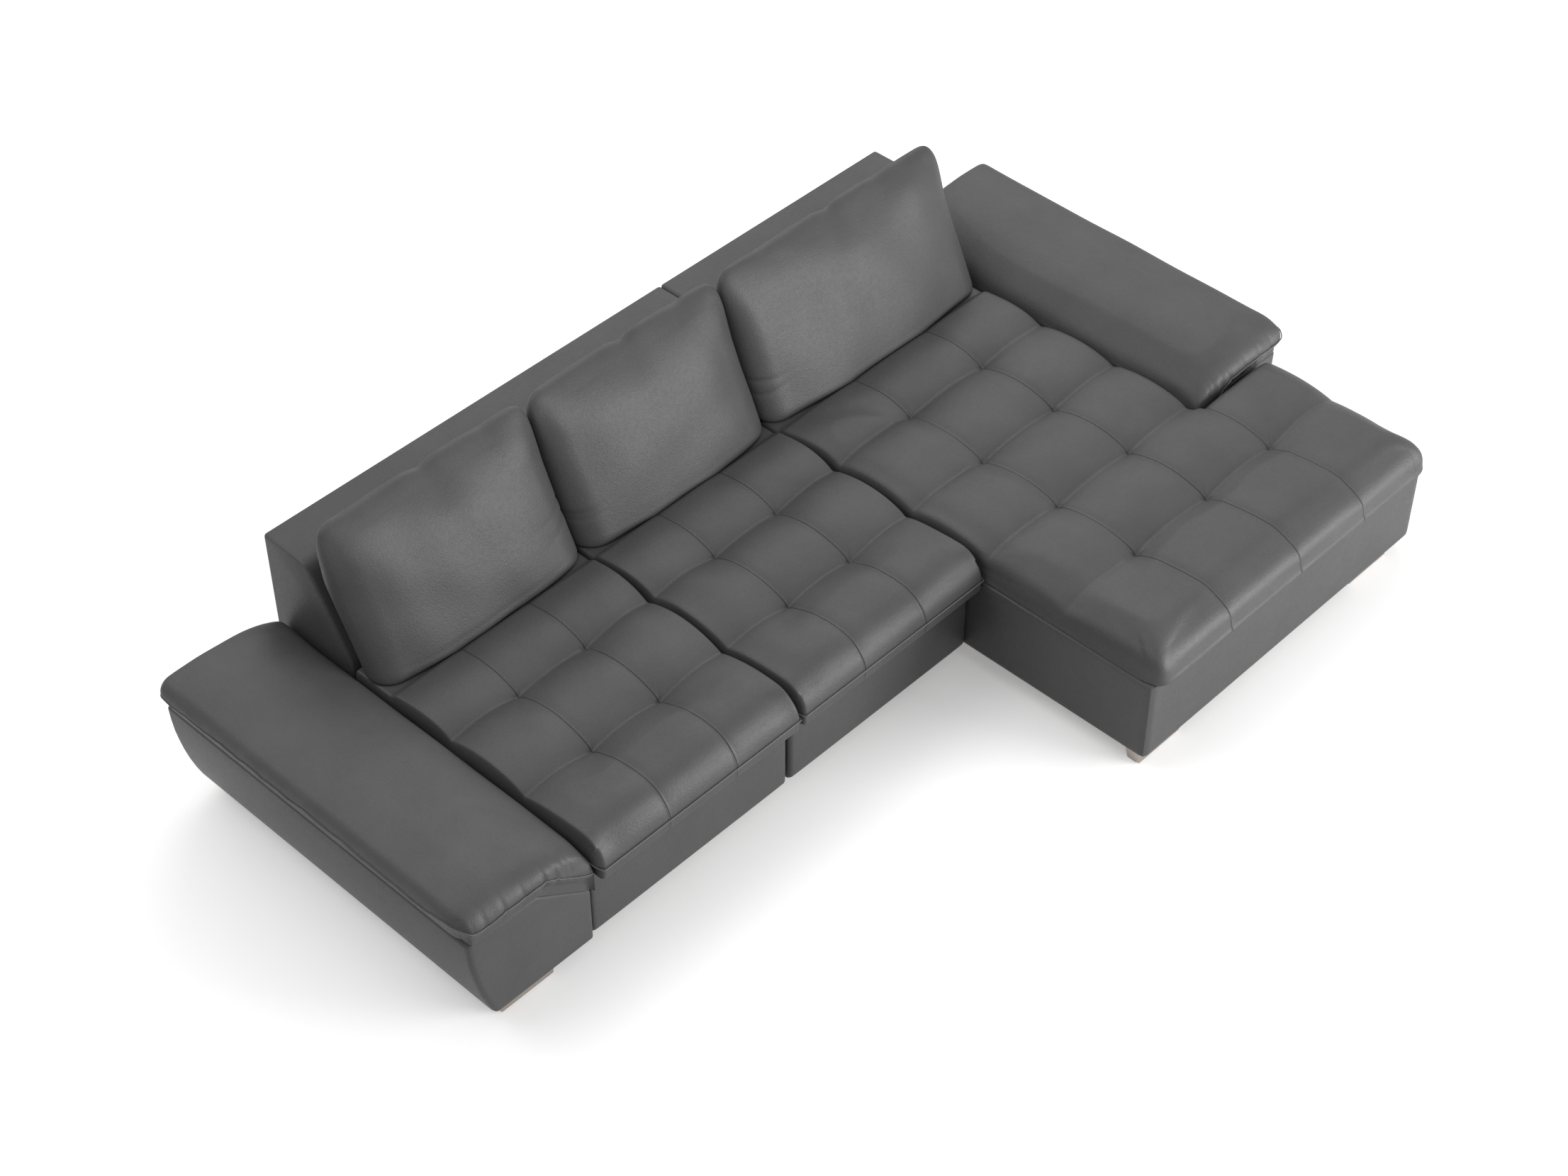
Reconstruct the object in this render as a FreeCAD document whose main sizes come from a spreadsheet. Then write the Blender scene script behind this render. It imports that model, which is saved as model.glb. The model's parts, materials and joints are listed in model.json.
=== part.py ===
import FreeCAD, Part
import math
import os
import re

import Sketcher
from FreeCAD import Placement, Rotation, Vector

# Corner sofa with a chaise on its right, tufted seats, loose back cushions,
# bedding drawers under the two seats and a storage box under the chaise.
# Millimetres. X runs from the left arm to the right arm, -Y is the front, Z is up.
# The origin is on the floor under the middle of the whole sofa.

SIZES = [
    ("seat_width", 665, "width of one seat cushion and of the drawer under it"),
    ("chaise_width", 841, "chaise, from the seats to the right arm"),
    ("arm_width", 389, "one arm, from its inner face to the lip of its pad"),
    ("overall_depth", 1705, "back's rear face to the nose of the chaise cushion"),
    ("foot_height", 56, "floor to the underside of the upholstery"),
    ("soft_gap", 0.3, "gap between soft pieces, and between sliding pieces"),
    ("skin", 12, "padding and leather over the frames"),
    ("board", 18, "plywood of the frames"),
    ("thin_board", 12, "plywood of the drawers"),
    # Backs
    ("back_height", 632, "floor to the top of the backs"),
    ("back_top_depth", 158, "flat top of a back, to the corner of its slope"),
    ("back_foot_depth", 295, "a back at seat level and below"),
    ("back_bend_height", 375, "where the upright front of a back starts to slope"),
    ("back_edge_round", 30, "rounding of the front top edge"),
    ("rib_edge_cut", 34, "corner taken off the ribs under that rounding"),
    # Arms
    ("arm_length", 1075, "an arm, front to rear"),
    ("arm_setback", 35, "rear of the left arm in front of the backs' rear face"),
    ("right_arm_shift", 40, "how much further forward the right arm stands"),
    ("arm_lip", 22, "pad's lip beyond the top of the arm's side"),
    ("arm_flare", 59, "arm's side leans out by this from bottom to top"),
    ("arm_side_radius", 720, "curve of the arm's outer side"),
    ("arm_top", 341, "floor to the flat top under the pad"),
    ("arm_inner_top", 227, "floor to the inner edge under the pad"),
    ("arm_slope_width", 161, "sloped part of the top, inner edge to flat"),
    ("pad_top", 451, "floor to the crown of an arm pad"),
    ("pad_inner_top", 396, "floor to the pad's top at its inner edge"),
    ("pad_lip_height", 433, "floor to the outermost point of the lip"),
    ("pad_seam_height", 398, "floor to the seam under the lip"),
    ("pad_overhang", 8, "pad's nose in front of the arm's shell"),
    ("pad_roll", 100, "length over which a pad rolls down at the front"),
    ("pad_nose", 0.36, "height that is left at the nose, as a share"),
    # Seats
    ("seat_depth", 1150, "backs' rear face to the front of the seat cushions"),
    ("seat_base", 284.7, "floor to the underside of the seat cushions"),
    ("seat_band", 35, "band under the front seam of a seat cushion"),
    ("seat_crown", 399, "floor to the top of a seat patch"),
    ("seat_tuft", 352, "floor to a tuft"),
    ("tuft_rise", 15, "crease between two tufts above the tufts"),
    ("seam_drop", 10, "sewn line in mid row below the top of a patch"),
    ("row_pitch", 252, "distance between rows of tufts"),
    ("seat_first_row", 263, "seat cushion's front to its first row of tufts"),
    ("seat_columns", 3, "columns of patches across a seat cushion"),
    ("seat_shelf", 372, "floor to the flat under a back cushion"),
    ("shelf_start", 8, "that flat starts this far behind a back cushion's foot"),
    ("shelf_ease", 0.4, "what that flat lies lower, besides the soft gap"),
    ("cushion_side_round", 34, "rounding along the sides of a cushion"),
    ("cushion_gap", 1, "gap between neighbouring cushions"),
    # Drawers
    ("drawer_face_depth", 1105, "backs' rear face to the drawers' faces"),
    ("drawer_pad", 27, "padding of a drawer front"),
    ("drawer_gap", 3, "gap each side of a drawer front"),
    ("drawer_top_gap", 2, "gap over a drawer front"),
    ("drawer_edge_round", 14, "rounding of a drawer front"),
    ("drawer_floor_height", 75, "floor to the underside of a drawer"),
    ("drawer_side_height", 135, "height of the drawer's walls"),
    ("drawer_depth", 690, "length of a drawer's walls"),
    ("drawer_floor_board", 6, "drawer's floor"),
    ("slide_gap", 13, "room for the slides each side of a drawer"),
    ("slide_height", 40, "steel slides"),
    ("slide_rise", 45, "underside of a drawer to its slides"),
    ("slide_lead", 4, "front rail's face to the slides"),
    ("slide_short", 40, "slides shorter than the drawer's walls"),
    ("front_board_inset", 6, "board inside the edges of a drawer's padding"),
    # Seat frame
    ("rail_top", 280, "floor to the top of the seat frame"),
    ("rail_height", 56, "seat frame's rails"),
    ("rail_thick", 30, "seat frame's rails"),
    ("strap_thick", 2.2, "elastic webbing"),
    ("strap_width", 60, "elastic webbing"),
    ("long_straps", 9, "straps that run front to rear"),
    ("cross_straps", 5, "straps that run left to right"),
    ("support_leg_radius", 20, "hidden legs under the middle of the seats"),
    ("support_leg_inset", 90, "those legs from the ends of the seat frame"),
    # Chaise
    ("chaise_overhang", 25, "nose of the chaise cushion in front of its box"),
    ("chaise_foot_width", 1149, "width of the chaise's box in front of the arm"),
    ("chaise_side_inset", 8, "cushion's outer side inside the side of that box"),
    ("box_step_gap", 22, "rear of the chaise's wide foot to the right arm"),
    ("box_top", 300, "floor to the rim of the chaise's box"),
    ("box_corner_round", 34, "rounding of the outer front corner of the box"),
    ("chaise_columns", 4, "columns of patches across the chaise's foot"),
    ("chaise_first_row", 314, "chaise cushion's nose to its first row of tufts"),
    ("chaise_rear_gap", 62, "rear of the chaise cushion to the back"),
    ("chaise_side_gap", 3, "chaise cushion to the right arm"),
    ("chaise_wing_gap", 17, "rear of the chaise's foot cushion to the right arm"),
    ("chaise_crown", 398, "floor to the top of a chaise patch"),
    ("chaise_tuft", 358, "floor to a tuft of the chaise"),
    ("rear_board_drop", 11.2, "rear board under the rim, clear of the hinges"),
    ("lid_gap", 1, "rim of the box to the lid"),
    ("lid_board", 15, "plywood of the lid"),
    ("lid_board_inset", 14, "lid board inside the edge of its cushion"),
    # Lid hinge
    ("hinge_height", 308.5, "floor to the hinge's axis"),
    ("hinge_behind_lid", 12, "rear edge of the lid to the hinge's axis"),
    ("hinge_pin_radius", 4, "hinge pin"),
    ("pin_clear", 0.05, "radial gap round a pin or a bolt"),
    ("knuckle_radius", 8, "moving knuckle of the hinge"),
    ("knuckle_width", 29, "moving knuckle of the hinge"),
    ("ear_width", 5, "fixed ears of the hinge"),
    ("ear_gap", 0.5, "gap between a knuckle and an ear"),
    ("hinge_plate", 4, "plate of the hinge's bracket"),
    ("hinge_plate_drop", 60, "hinge's axis to the lower end of that plate"),
    ("hinge_wall_gap", 22, "hinge's axis to the rear board of the box"),
    ("hinge_inset", 130, "hinges from the sides of the chaise"),
    ("leaf_thick", 3, "hinge leaf under the lid board"),
    ("leaf_length", 60, "hinge leaf"),
    # Back cushions
    ("back_cushion_top", 768, "floor to the top of a back cushion"),
    ("back_cushion_front", 146, "back cushion's foot in front of the back"),
    ("back_cushion_crown", 34, "how far the front face swells"),
    ("back_cushion_lean", 0.44, "how far the front face leans back, per height"),
    ("back_cushion_ease", 0.2, "what it stands off the back, besides the soft gap"),
    ("back_cushion_shoulder", 22, "how much lower its top is at the sides"),
    ("back_cushion_side", 0.5, "thickness at the sides, as a share"),
    # Feet
    ("foot_length", 176, "a foot along X, at the top"),
    ("foot_depth", 45, "a foot along Y, at the top"),
    ("foot_taper", 7, "each side of a foot draws in by this at the floor"),
    ("glide", 3, "felt under a foot"),
    ("arm_foot_inset", 28, "an arm's feet behind the ends of the arm"),
    ("arm_foot_shift", 36, "left arm's feet outside the middle of its base"),
    ("right_foot_shift", 20, "right arm's feet outside the middle of its base"),
    ("right_foot_inset", 62, "right arm's front foot behind the front of the arm"),
    ("chaise_foot_inset", 23, "chaise's front feet behind the front of its box"),
    ("foot_side_inset", 68, "right front foot from the side of the chaise's box"),
    ("chaise_rear_foot_inset", 62, "chaise's rear foot in front of the back"),
    ("stud_radius", 4, "threaded stud of a foot"),
    ("stud_depth", 20, "stud inside the foot"),
    # Bolts between the sections
    ("bolt_radius", 4, "bolts that hold the sections together"),
    ("bolt_head_radius", 8, "head of such a bolt"),
    ("bolt_head", 5, "head of such a bolt"),
    ("bolt_end", 12, "end of such a bolt inside the chaise's box"),
    ("bolt_inset", 160, "those bolts from the ends of the seat frame"),
]

# Places that follow from the sizes.
PLACES = {
    "half_width": "(2 * arm_width + 2 * seat_width + chaise_width) / 2",
    "rear_face": "overall_depth / 2",
    "seat_left": "arm_width - half_width",
    "seat_mid": "seat_left + seat_width",
    "chaise_left": "seat_left + 2 * seat_width",
    "chaise_right": "chaise_left + chaise_width",
    "back_front": "rear_face - back_foot_depth",
    "left_arm_rear": "rear_face - arm_setback",
    "left_arm_front": "left_arm_rear - arm_length",
    "right_arm_rear": "left_arm_rear - right_arm_shift",
    "right_arm_front": "right_arm_rear - arm_length",
    "seat_face": "rear_face - seat_depth",
    "drawer_face": "rear_face - drawer_face_depth",
    "rail_face": "drawer_face + drawer_pad + board + 2",
    "frame_rear": "back_front - soft_gap",
    "chaise_nose": "-overall_depth / 2",
    "box_face": "chaise_nose + chaise_overhang",
    "box_step": "right_arm_front - box_step_gap",
    "chaise_step": "box_step - box_face",
    "lid_rear": "back_front - chaise_rear_gap",
    "hinge_y": "lid_rear + hinge_behind_lid",
    "hinge_wall": "hinge_y + hinge_wall_gap",
    "shelf_front": "back_front - back_cushion_front + shelf_start",
    "cushion_foot_width": "chaise_foot_width - chaise_side_inset",
    "lid_base": "box_top + lid_gap",
    "wing_rear": "right_arm_front - chaise_wing_gap",
    "arm_side_top": "arm_width - arm_lip",
    "arm_side_foot": "arm_side_top - arm_flare",
    "arm_slope": "(arm_top - arm_inner_top) / arm_slope_width",
    "back_slope": "(back_foot_depth - back_top_depth) / (back_height - back_bend_height)",
    "slide_base": "drawer_floor_height + slide_rise",
}

doc = FreeCAD.newDocument("corner_sofa")
sheet = doc.addObject("Spreadsheet::Sheet", "dims")
for row, (alias, size, note) in enumerate(SIZES, start=1):
    sheet.set("A%d" % row, note)
    sheet.set("B%d" % row, str(size))
    sheet.setAlias("B%d" % row, alias)
doc.recompute()

ALIASES = {alias for alias, _, _ in SIZES}
nodes = []


def expand(text):
    """The expression with each size and place written as cells of the sheet."""
    def swap(match):
        word = match.group(0)
        if word in ALIASES:
            return "dims." + word
        if word in PLACES:
            return "(" + expand(PLACES[word]) + ")"
        return word
    return re.sub(r"[a-z][a-z_]*", swap, str(text))


def number(text):
    """The value of an expression in sizes and places."""
    return float(sheet.evalExpression(expand(text)))


def bind(thing, prop, text):
    """Ties a property to an expression in sizes and places."""
    thing.setExpression(prop, expand(text))


def put(thing, at):
    """Ties a thing's position to three expressions."""
    for axis, text in zip("xyz", at):
        bind(thing, "Placement.Base." + axis, text)


def node(thing, label):
    """Marks a finished piece, which is written to its own file."""
    thing.Label = label
    nodes.append(thing)
    return thing


def block(name, at, size):
    """A rectangular board or bar: its low corner and its three sizes."""
    box = doc.addObject("Part::Box", name)
    for prop, text in zip(("Length", "Width", "Height"), size):
        bind(box, prop, text)
    put(box, at)
    return box


TURNS = {"x": Rotation(Vector(0, 1, 0), 90), "y": Rotation(Vector(1, 0, 0), -90), "z": Rotation()}


def rod(name, at, radius, length, along="z"):
    """A round bar that starts at a point and runs along +X, +Y or +Z."""
    bar = doc.addObject("Part::Cylinder", name)
    bar.Placement = Placement(Vector(), TURNS[along])
    bind(bar, "Radius", radius)
    bind(bar, "Height", length)
    put(bar, at)
    return bar


def group(name, things):
    """Several separate solids that share one node."""
    set_of = doc.addObject("Part::Compound", name)
    set_of.Links = things
    return set_of


def cut(name, base, tools):
    """A piece with holes or a hollow taken out of it."""
    tool = tools[0]
    if len(tools) > 1:
        tool = doc.addObject("Part::MultiFuse", name + "_tools")
        tool.Shapes = tools
    piece = doc.addObject("Part::Cut", name)
    piece.Base = base
    piece.Tool = tool
    return piece


def origin_plane(body, role):
    return [f for f in body.Origin.OriginFeatures if f.Role == role][0]


def outline(body, plane, corners, bulges=None):
    """A closed sketch through corners given as expressions.

    bulges maps the number of a side to its radius: that side is an arc that
    bows outwards from a profile drawn anticlockwise.
    """
    bulges = bulges or {}
    sketch = body.newObject("Sketcher::SketchObject", body.Name + "_outline")
    sketch.AttachmentSupport = (plane, [""])
    sketch.MapMode = "FlatFace"
    points = [Vector(number(x), number(y), 0) for x, y in corners]
    for i, start in enumerate(points):
        end = points[(i + 1) % len(points)]
        if i in bulges:
            chord = end - start
            radius = number(bulges[i])
            sagitta = radius - math.sqrt(radius ** 2 - chord.Length ** 2 / 4)
            outwards = Vector(chord.y, -chord.x, 0).normalize()
            middle = (start + end) / 2 + outwards * sagitta
            sketch.addGeometry(Part.Arc(start, middle, end), False)
        else:
            sketch.addGeometry(Part.LineSegment(start, end), False)
    for i in range(len(points)):
        following = (i + 1) % len(points)
        sketch.addConstraint(Sketcher.Constraint("Coincident", i, 2, following, 1))
    for i, (x, y) in enumerate(corners):
        for kind, text in (("DistanceX", x), ("DistanceY", y)):
            made = sketch.addConstraint(Sketcher.Constraint(kind, -1, 1, i, 1, number(text)))
            bind(sketch, "Constraints[%d]" % made, text)
        if i in bulges:
            made = sketch.addConstraint(Sketcher.Constraint("Radius", i, number(bulges[i])))
            bind(sketch, "Constraints[%d]" % made, bulges[i])
    return sketch


def prism(name, role, corners, length, at, bulges=None, turn=0):
    """A body padded from an outline on one of its own origin planes."""
    body = doc.addObject("PartDesign::Body", name)
    doc.recompute()
    sketch = outline(body, origin_plane(body, role), corners, bulges)
    pad = body.newObject("PartDesign::Pad", name + "_pad")
    pad.Profile = sketch
    bind(pad, "Length", length)
    body.Placement = Placement(Vector(), Rotation(Vector(0, 0, 1), turn))
    put(body, at)
    doc.recompute()
    return body


def round_edges(body, radius, chosen):
    """Rounds the edges of the body's tip that the test picks."""
    tip = body.Tip
    names = ["Edge%d" % (i + 1) for i, edge in enumerate(tip.Shape.Edges) if chosen(edge)]
    fillet = body.newObject("PartDesign::Fillet", body.Name + "_round")
    fillet.Base = (tip, names)
    bind(fillet, "Radius", radius)
    doc.recompute()
    return body


def ends(edge):
    return [vertex.Point for vertex in edge.Vertexes]


def touches(point, **wanted):
    """True if a point has the given coordinates, which are expressions."""
    return all(abs(getattr(point, axis) - number(text)) < 1e-6 for axis, text in wanted.items())


def soft(name, shape):
    """A soft form that is lofted in code."""
    piece = doc.addObject("Part::Feature", name)
    piece.Shape = shape
    piece.Placement = Placement()
    return piece


def arc(a, b, c):
    return Part.Arc(a, b, c).toShape()


def line(a, b):
    return Part.LineSegment(a, b).toShape()


def loft(wires, straight=False):
    return Part.makeLoft(wires, True, straight)


# Arms: an upholstered shell round plywood ribs, with a soft pad laid over the top.

arm_outline = [
    ("0", "foot_height"),
    ("arm_side_foot", "foot_height"),
    ("arm_side_top", "arm_top"),
    ("arm_slope_width", "arm_top"),
    ("0", "arm_inner_top"),
]


def arm_inside(inset, foot):
    """The arm's profile drawn in by an inset, with straight sides, down to a foot."""
    slope_drop = "(%s) * sqrt(1 + arm_slope ^ 2)" % inset
    return [
        (inset, foot),
        ("arm_side_foot - (%s)" % inset, foot),
        ("arm_side_top - (%s)" % inset, "arm_top - (%s)" % inset),
        ("arm_slope_width + (%s - (%s)) / arm_slope" % (slope_drop, inset), "arm_top - (%s)" % inset),
        (inset, "arm_inner_top + (%s) * arm_slope - %s" % (inset, slope_drop)),
    ]


def build_arm(side, turn, inner, pad_start, away):
    """One arm. pad_start is where its shell starts, and away points along Y into it."""
    shell = prism(side + "_arm_outer", "XZ_Plane", arm_outline, "arm_length",
                  (inner, pad_start, "0"), {1: "arm_side_radius"}, turn)
    hollow = prism(side + "_arm_hollow", "XZ_Plane", arm_inside("skin", "foot_height - skin"),
                   "arm_length - 2 * skin", (inner, "%s + %s * skin" % (pad_start, away), "0"),
                   None, turn)
    node(cut(side + "_arm_cover", shell, [hollow]), side + "_arm_cover")

    ribs = []
    spread = "(arm_length - 2 * skin - 2 * soft_gap - board) / 2"
    for i in range(3):
        at = "%s + %s * (skin + soft_gap + %d * %s)" % (pad_start, away, i, spread)
        ribs.append(prism("%s_arm_rib_%d" % (side, i), "XZ_Plane",
                          arm_inside("skin + soft_gap", "foot_height + board + soft_gap"),
                          "board", (inner, at, "0"), None, turn))
    node(group(side + "_arm_ribs", ribs), side + "_arm_ribs")


def arm_base(side, low_x, front):
    """The board that closes the arm's underside and takes its feet."""
    return block(side + "_arm_base_blank",
                 (low_x, "%s + skin + soft_gap" % front, "foot_height"),
                 ("arm_side_foot - 2 * (skin + soft_gap)", "arm_length - 2 * (skin + soft_gap)", "board"))


build_arm("left", 180, "seat_left", "left_arm_front", "1")
build_arm("right", 0, "chaise_right", "right_arm_rear", "-1")
left_arm_base = arm_base("left", "seat_left - arm_side_foot + skin + soft_gap", "left_arm_front")
right_arm_base = arm_base("right", "chaise_right + skin + soft_gap", "right_arm_front")


def pad_section(place, y, share):
    """One cross-section of an arm pad, with its top lowered to a share of its height."""
    gap = number("soft_gap")
    slope = number("arm_slope")
    under = number("arm_top") + gap
    inner_under = number("arm_inner_top") + gap * math.hypot(1, slope) + 2 * slope
    slope_width = number("arm_slope_width")
    outer = number("arm_side_top")
    lip = number("arm_width")

    def floor_at(a):
        return min(under, inner_under + (a - 2) * slope)

    def high(a, z):
        return place(a, y, floor_at(a) + (z - floor_at(a)) * share)

    top = number("pad_top")
    inner_top = number("pad_inner_top")
    seam = number("pad_seam_height")
    lip_height = number("pad_lip_height")
    inner_foot = place(2, y, inner_under)
    bend = place(slope_width - 1, y, under)
    outer_foot = place(outer, y, under)
    side_low = high(3, inner_top - 60)
    side_mid = high(6, inner_top - 24)
    side_top = high(22, inner_top)
    hip = high(slope_width * 0.87, top - 14)
    shoulder = high(outer - 34, top - 1)
    nose = high(lip, lip_height)
    stitch = high(lip - 9, seam)
    return Part.Wire([
        line(inner_foot, side_low),
        arc(side_low, side_mid, side_top),
        arc(side_top, high(slope_width * 0.48, inner_top + 24), hip),
        arc(hip, high((slope_width + outer) / 2, top), shoulder),
        arc(shoulder, high(lip - 14, top - 6), nose),
        arc(nose, high(lip - 2, seam + 14), stitch),
        line(stitch, outer_foot),
        line(outer_foot, bend),
        line(bend, inner_foot),
    ])


def build_pad(side, inner, outwards, front):
    """An arm pad: crowned along its length, rolled down at the front."""
    start = number(inner)
    nose_y = number(front)
    overhang = number("pad_overhang")
    roll = number("pad_roll")
    nose = number("pad_nose")
    tip = nose_y - overhang
    tail = nose_y + number("arm_length")
    steps = 8

    def place(a, y, z):
        return Vector(start + outwards * a, y, z)

    wires = []
    for step in range(steps):
        angle = math.pi / 2 * step / (steps - 1)
        share = nose + (1 - nose) * math.sin(angle)
        wires.append(pad_section(place, tip + roll * (1 - math.cos(angle)), share))
    wires.append(pad_section(place, tail - 12, 1))
    wires.append(pad_section(place, tail, 0.93))
    node(soft(side + "_arm_pad", loft(wires, straight=True)), side + "_arm_pad")


build_pad("left", "seat_left", -1, "left_arm_front")
build_pad("right", "chaise_right", 1, "right_arm_front")

# Backs: upholstered shells with a sloped front over shaped ribs and rails.

back_outline = [
    ("-back_foot_depth", "foot_height"),
    ("0", "foot_height"),
    ("0", "back_height"),
    ("-back_top_depth", "back_height"),
    ("-back_foot_depth", "back_bend_height"),
]


def back_inside(inset, foot):
    """The back's profile drawn in by an inset, with its rounded corner cut off."""
    lean = "(%s) * sqrt(1 + back_slope ^ 2)" % inset
    top = "back_height - (%s)" % inset
    slope_at_top = "-back_top_depth + (%s) + (%s) * back_slope" % (lean, "-(" + inset + ")")
    return [
        ("-back_foot_depth + (%s)" % inset, foot),
        ("-(%s)" % inset, foot),
        ("-(%s)" % inset, top),
        (slope_at_top + " + rib_edge_cut", top),
        (slope_at_top + " - rib_edge_cut * back_slope / 2", top + " - rib_edge_cut / 2"),
        ("-back_foot_depth + (%s)" % inset,
         "back_bend_height + (%s - (%s)) / back_slope" % ("(" + inset + ")", lean)),
    ]


def build_back(name, low_x, width, rib_count):
    """One back section between two X places, with ribs, three long rails and a base."""
    body = prism(name + "_outer", "YZ_Plane", back_outline, width, (low_x, "rear_face", "0"))
    round_edges(body, "back_edge_round",
                lambda e: all(touches(p, y="-back_top_depth", z="back_height") for p in ends(e)))
    hollow = prism(name + "_hollow", "YZ_Plane", back_inside("skin", "foot_height - skin"),
                   "(%s) - 2 * skin" % width, ("%s + skin" % low_x, "rear_face", "0"))
    node(cut(name + "_cover", body, [hollow]), name + "_cover")

    ribs = []
    spread = "((%s) - 2 * skin - 2 * soft_gap - board) / %d" % (width, rib_count - 1)
    for i in range(rib_count):
        at = "%s + skin + soft_gap + %d * %s" % (low_x, i, spread)
        ribs.append(prism("%s_rib_%d" % (name, i), "YZ_Plane",
                          back_inside("skin + soft_gap", "foot_height"),
                          "board", (at, "rear_face", "0")))
    node(group(name + "_ribs", ribs), name + "_ribs")

    rails = []
    bay = "(%s - board - 2 * soft_gap)" % spread
    for i in range(rib_count - 1):
        x = "%s + skin + 2 * soft_gap + board + %d * %s" % (low_x, i, spread)
        for level, (depth, height) in enumerate((
                ("board + skin + 1", "foot_height"),
                ("board + skin + 1", "back_height - skin - 1 - 4 * board"),
                ("back_foot_depth - skin - 1", "foot_height"))):
            rails.append(block("%s_rail_%d_%d" % (name, i, level),
                               (x, "rear_face - (%s)" % depth, height),
                               (bay, "board", "4 * board")))
        rails.append(block("%s_base_%d" % (name, i),
                           (x, "rear_face - back_foot_depth + skin + 1 + board", "foot_height"),
                           (bay, "back_foot_depth - 2 * (skin + 1 + board)", "board")))
    node(group(name + "_rails", rails), name + "_rails")


build_back("seat_back", "seat_left + soft_gap", "2 * seat_width - 3 * soft_gap", 4)
build_back("chaise_back", "chaise_left + soft_gap", "chaise_width - 2 * soft_gap", 3)

# Seat frame: rails between the left arm and the chaise, webbing, partition and legs.

frame_left = "seat_left + soft_gap"
frame_span = "2 * seat_width - 2 * soft_gap"
rail_base = "rail_top - rail_height"
cross_front = "rail_face + rail_thick"
cross_length = "frame_rear - rail_face - 2 * rail_thick"

node(block("seat_front_rail", (frame_left, "rail_face", rail_base),
           (frame_span, "rail_thick", "rail_height")), "seat_front_rail")
node(block("seat_rear_rail", (frame_left, "frame_rear - rail_thick", rail_base),
           (frame_span, "rail_thick", "rail_height")), "seat_rear_rail")
left_cross = block("seat_cross_rail_left", (frame_left, cross_front, rail_base),
                   ("rail_thick", cross_length, "rail_height"))
middle_cross = block("seat_cross_rail_middle",
                     ("seat_mid - rail_thick / 2", cross_front, rail_base),
                     ("rail_thick", cross_length, "rail_height"))
right_cross_blank = block("seat_cross_rail_right_blank",
                          ("chaise_left - soft_gap - rail_thick", cross_front, rail_base),
                          ("rail_thick", cross_length, "rail_height"))

node(block("drawer_partition", ("seat_mid - board / 2", "rail_face + soft_gap", "foot_height"),
           ("board", "frame_rear - rail_face - soft_gap", "%s - foot_height" % rail_base)),
     "drawer_partition")

legs = []
for i, y in enumerate(("rail_face + support_leg_inset", "frame_rear - support_leg_inset")):
    legs.append(rod("support_leg_%d" % i, ("seat_mid", y, "0"),
                    "support_leg_radius", "foot_height"))
node(group("support_legs", legs), "support_legs")

long_pitch = "(2 * seat_width - strap_width - 2 * rail_thick) / (long_straps - 1)"
straps = []
for i in range(int(number("long_straps"))):
    straps.append(block("long_strap_%d" % i,
                        ("seat_left + rail_thick + %d * %s" % (i, long_pitch),
                         "rail_face + 2", "rail_top"),
                        ("strap_width", "frame_rear - rail_face - 4", "strap_thick")))
node(group("long_straps_set", straps), "seat_straps_lengthwise")

cross_pitch = "(%s - strap_width) / (cross_straps - 1)" % cross_length
straps = []
for i in range(int(number("cross_straps"))):
    straps.append(block("cross_strap_%d" % i,
                        ("seat_left + soft_gap + 2", "%s + %d * %s" % (cross_front, i, cross_pitch),
                         "rail_top + strap_thick"),
                        ("2 * seat_width - 2 * soft_gap - 4", "strap_width", "strap_thick")))
node(group("cross_straps_set", straps), "seat_straps_crosswise")

# Tufted cushions: each is lofted across its width through sections that rise and
# fall by formula, low at the tufts and high in the middle of each patch.


def swell(share):
    """Height of a patch across its width, from 0 at its sewn lines to 1."""
    return max(0.0, math.sin(math.pi * share)) ** 0.7


def side_drop(distance):
    """How far the top rolls down near the side of a cushion."""
    reach = number("cushion_side_round")
    if distance >= reach:
        return 0.0
    return reach * (1 - math.sqrt(1 - (1 - distance / reach) ** 2))


def stations(width, pitch):
    """Distances across a cushion at which it has a section."""
    reach = number("cushion_side_round")
    found = [0.0, reach * 0.12, reach * 0.4, reach]
    count = int(round(width / pitch))
    for i in range(count):
        for share in (0.0, 0.22, 0.5, 0.78):
            at = (i + share) * pitch
            if reach * 1.4 < at < width - reach * 1.4:
                found.append(at)
    found += [width - d for d in (reach, reach * 0.4, reach * 0.12, 0.0)]
    return found


def seat_section(x, distance, width):
    """One cross-section of a seat cushion, at a distance from its left side."""
    pitch = width / number("seat_columns")
    rise = swell(distance / pitch % 1)
    drop = side_drop(min(distance, width - distance))
    face = number("seat_face")
    base = number("seat_base")
    seam = base + number("seat_band")
    tuft = number("seat_tuft")
    crease = tuft + number("tuft_rise") * rise - drop
    crown = number("seat_crown") - number("seam_drop") * (1 - rise) - drop
    shelf = number("seat_shelf - shelf_ease") - drop
    rear = number("back_front - cushion_gap")
    first = face + number("seat_first_row")
    second = first + number("row_pitch")
    stand = number("shelf_front")

    def at(y, z):
        return Vector(x, y, z)

    shoulder = (crown + seam) / 2
    return Part.Wire([
        line(at(rear, base), at(face + 3, base)),
        line(at(face + 3, base), at(face + 3, seam)),
        arc(at(face + 3, seam), at(face, (seam + shoulder) / 2), at(face + 8, shoulder)),
        arc(at(face + 8, shoulder), at(face + 24, crown - 12), at(face + 64, crown - 1)),
        arc(at(face + 64, crown - 1), at((face + 64 + first) / 2, crown - 4), at(first, crease)),
        arc(at(first, crease), at((first + second) / 2, crown), at(second, crease)),
        arc(at(second, crease), at((second + stand) / 2, (crown + shelf) / 2 + 8), at(stand, shelf)),
        line(at(stand, shelf), at(rear, shelf)),
        line(at(rear, shelf), at(rear, base)),
    ])


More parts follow.
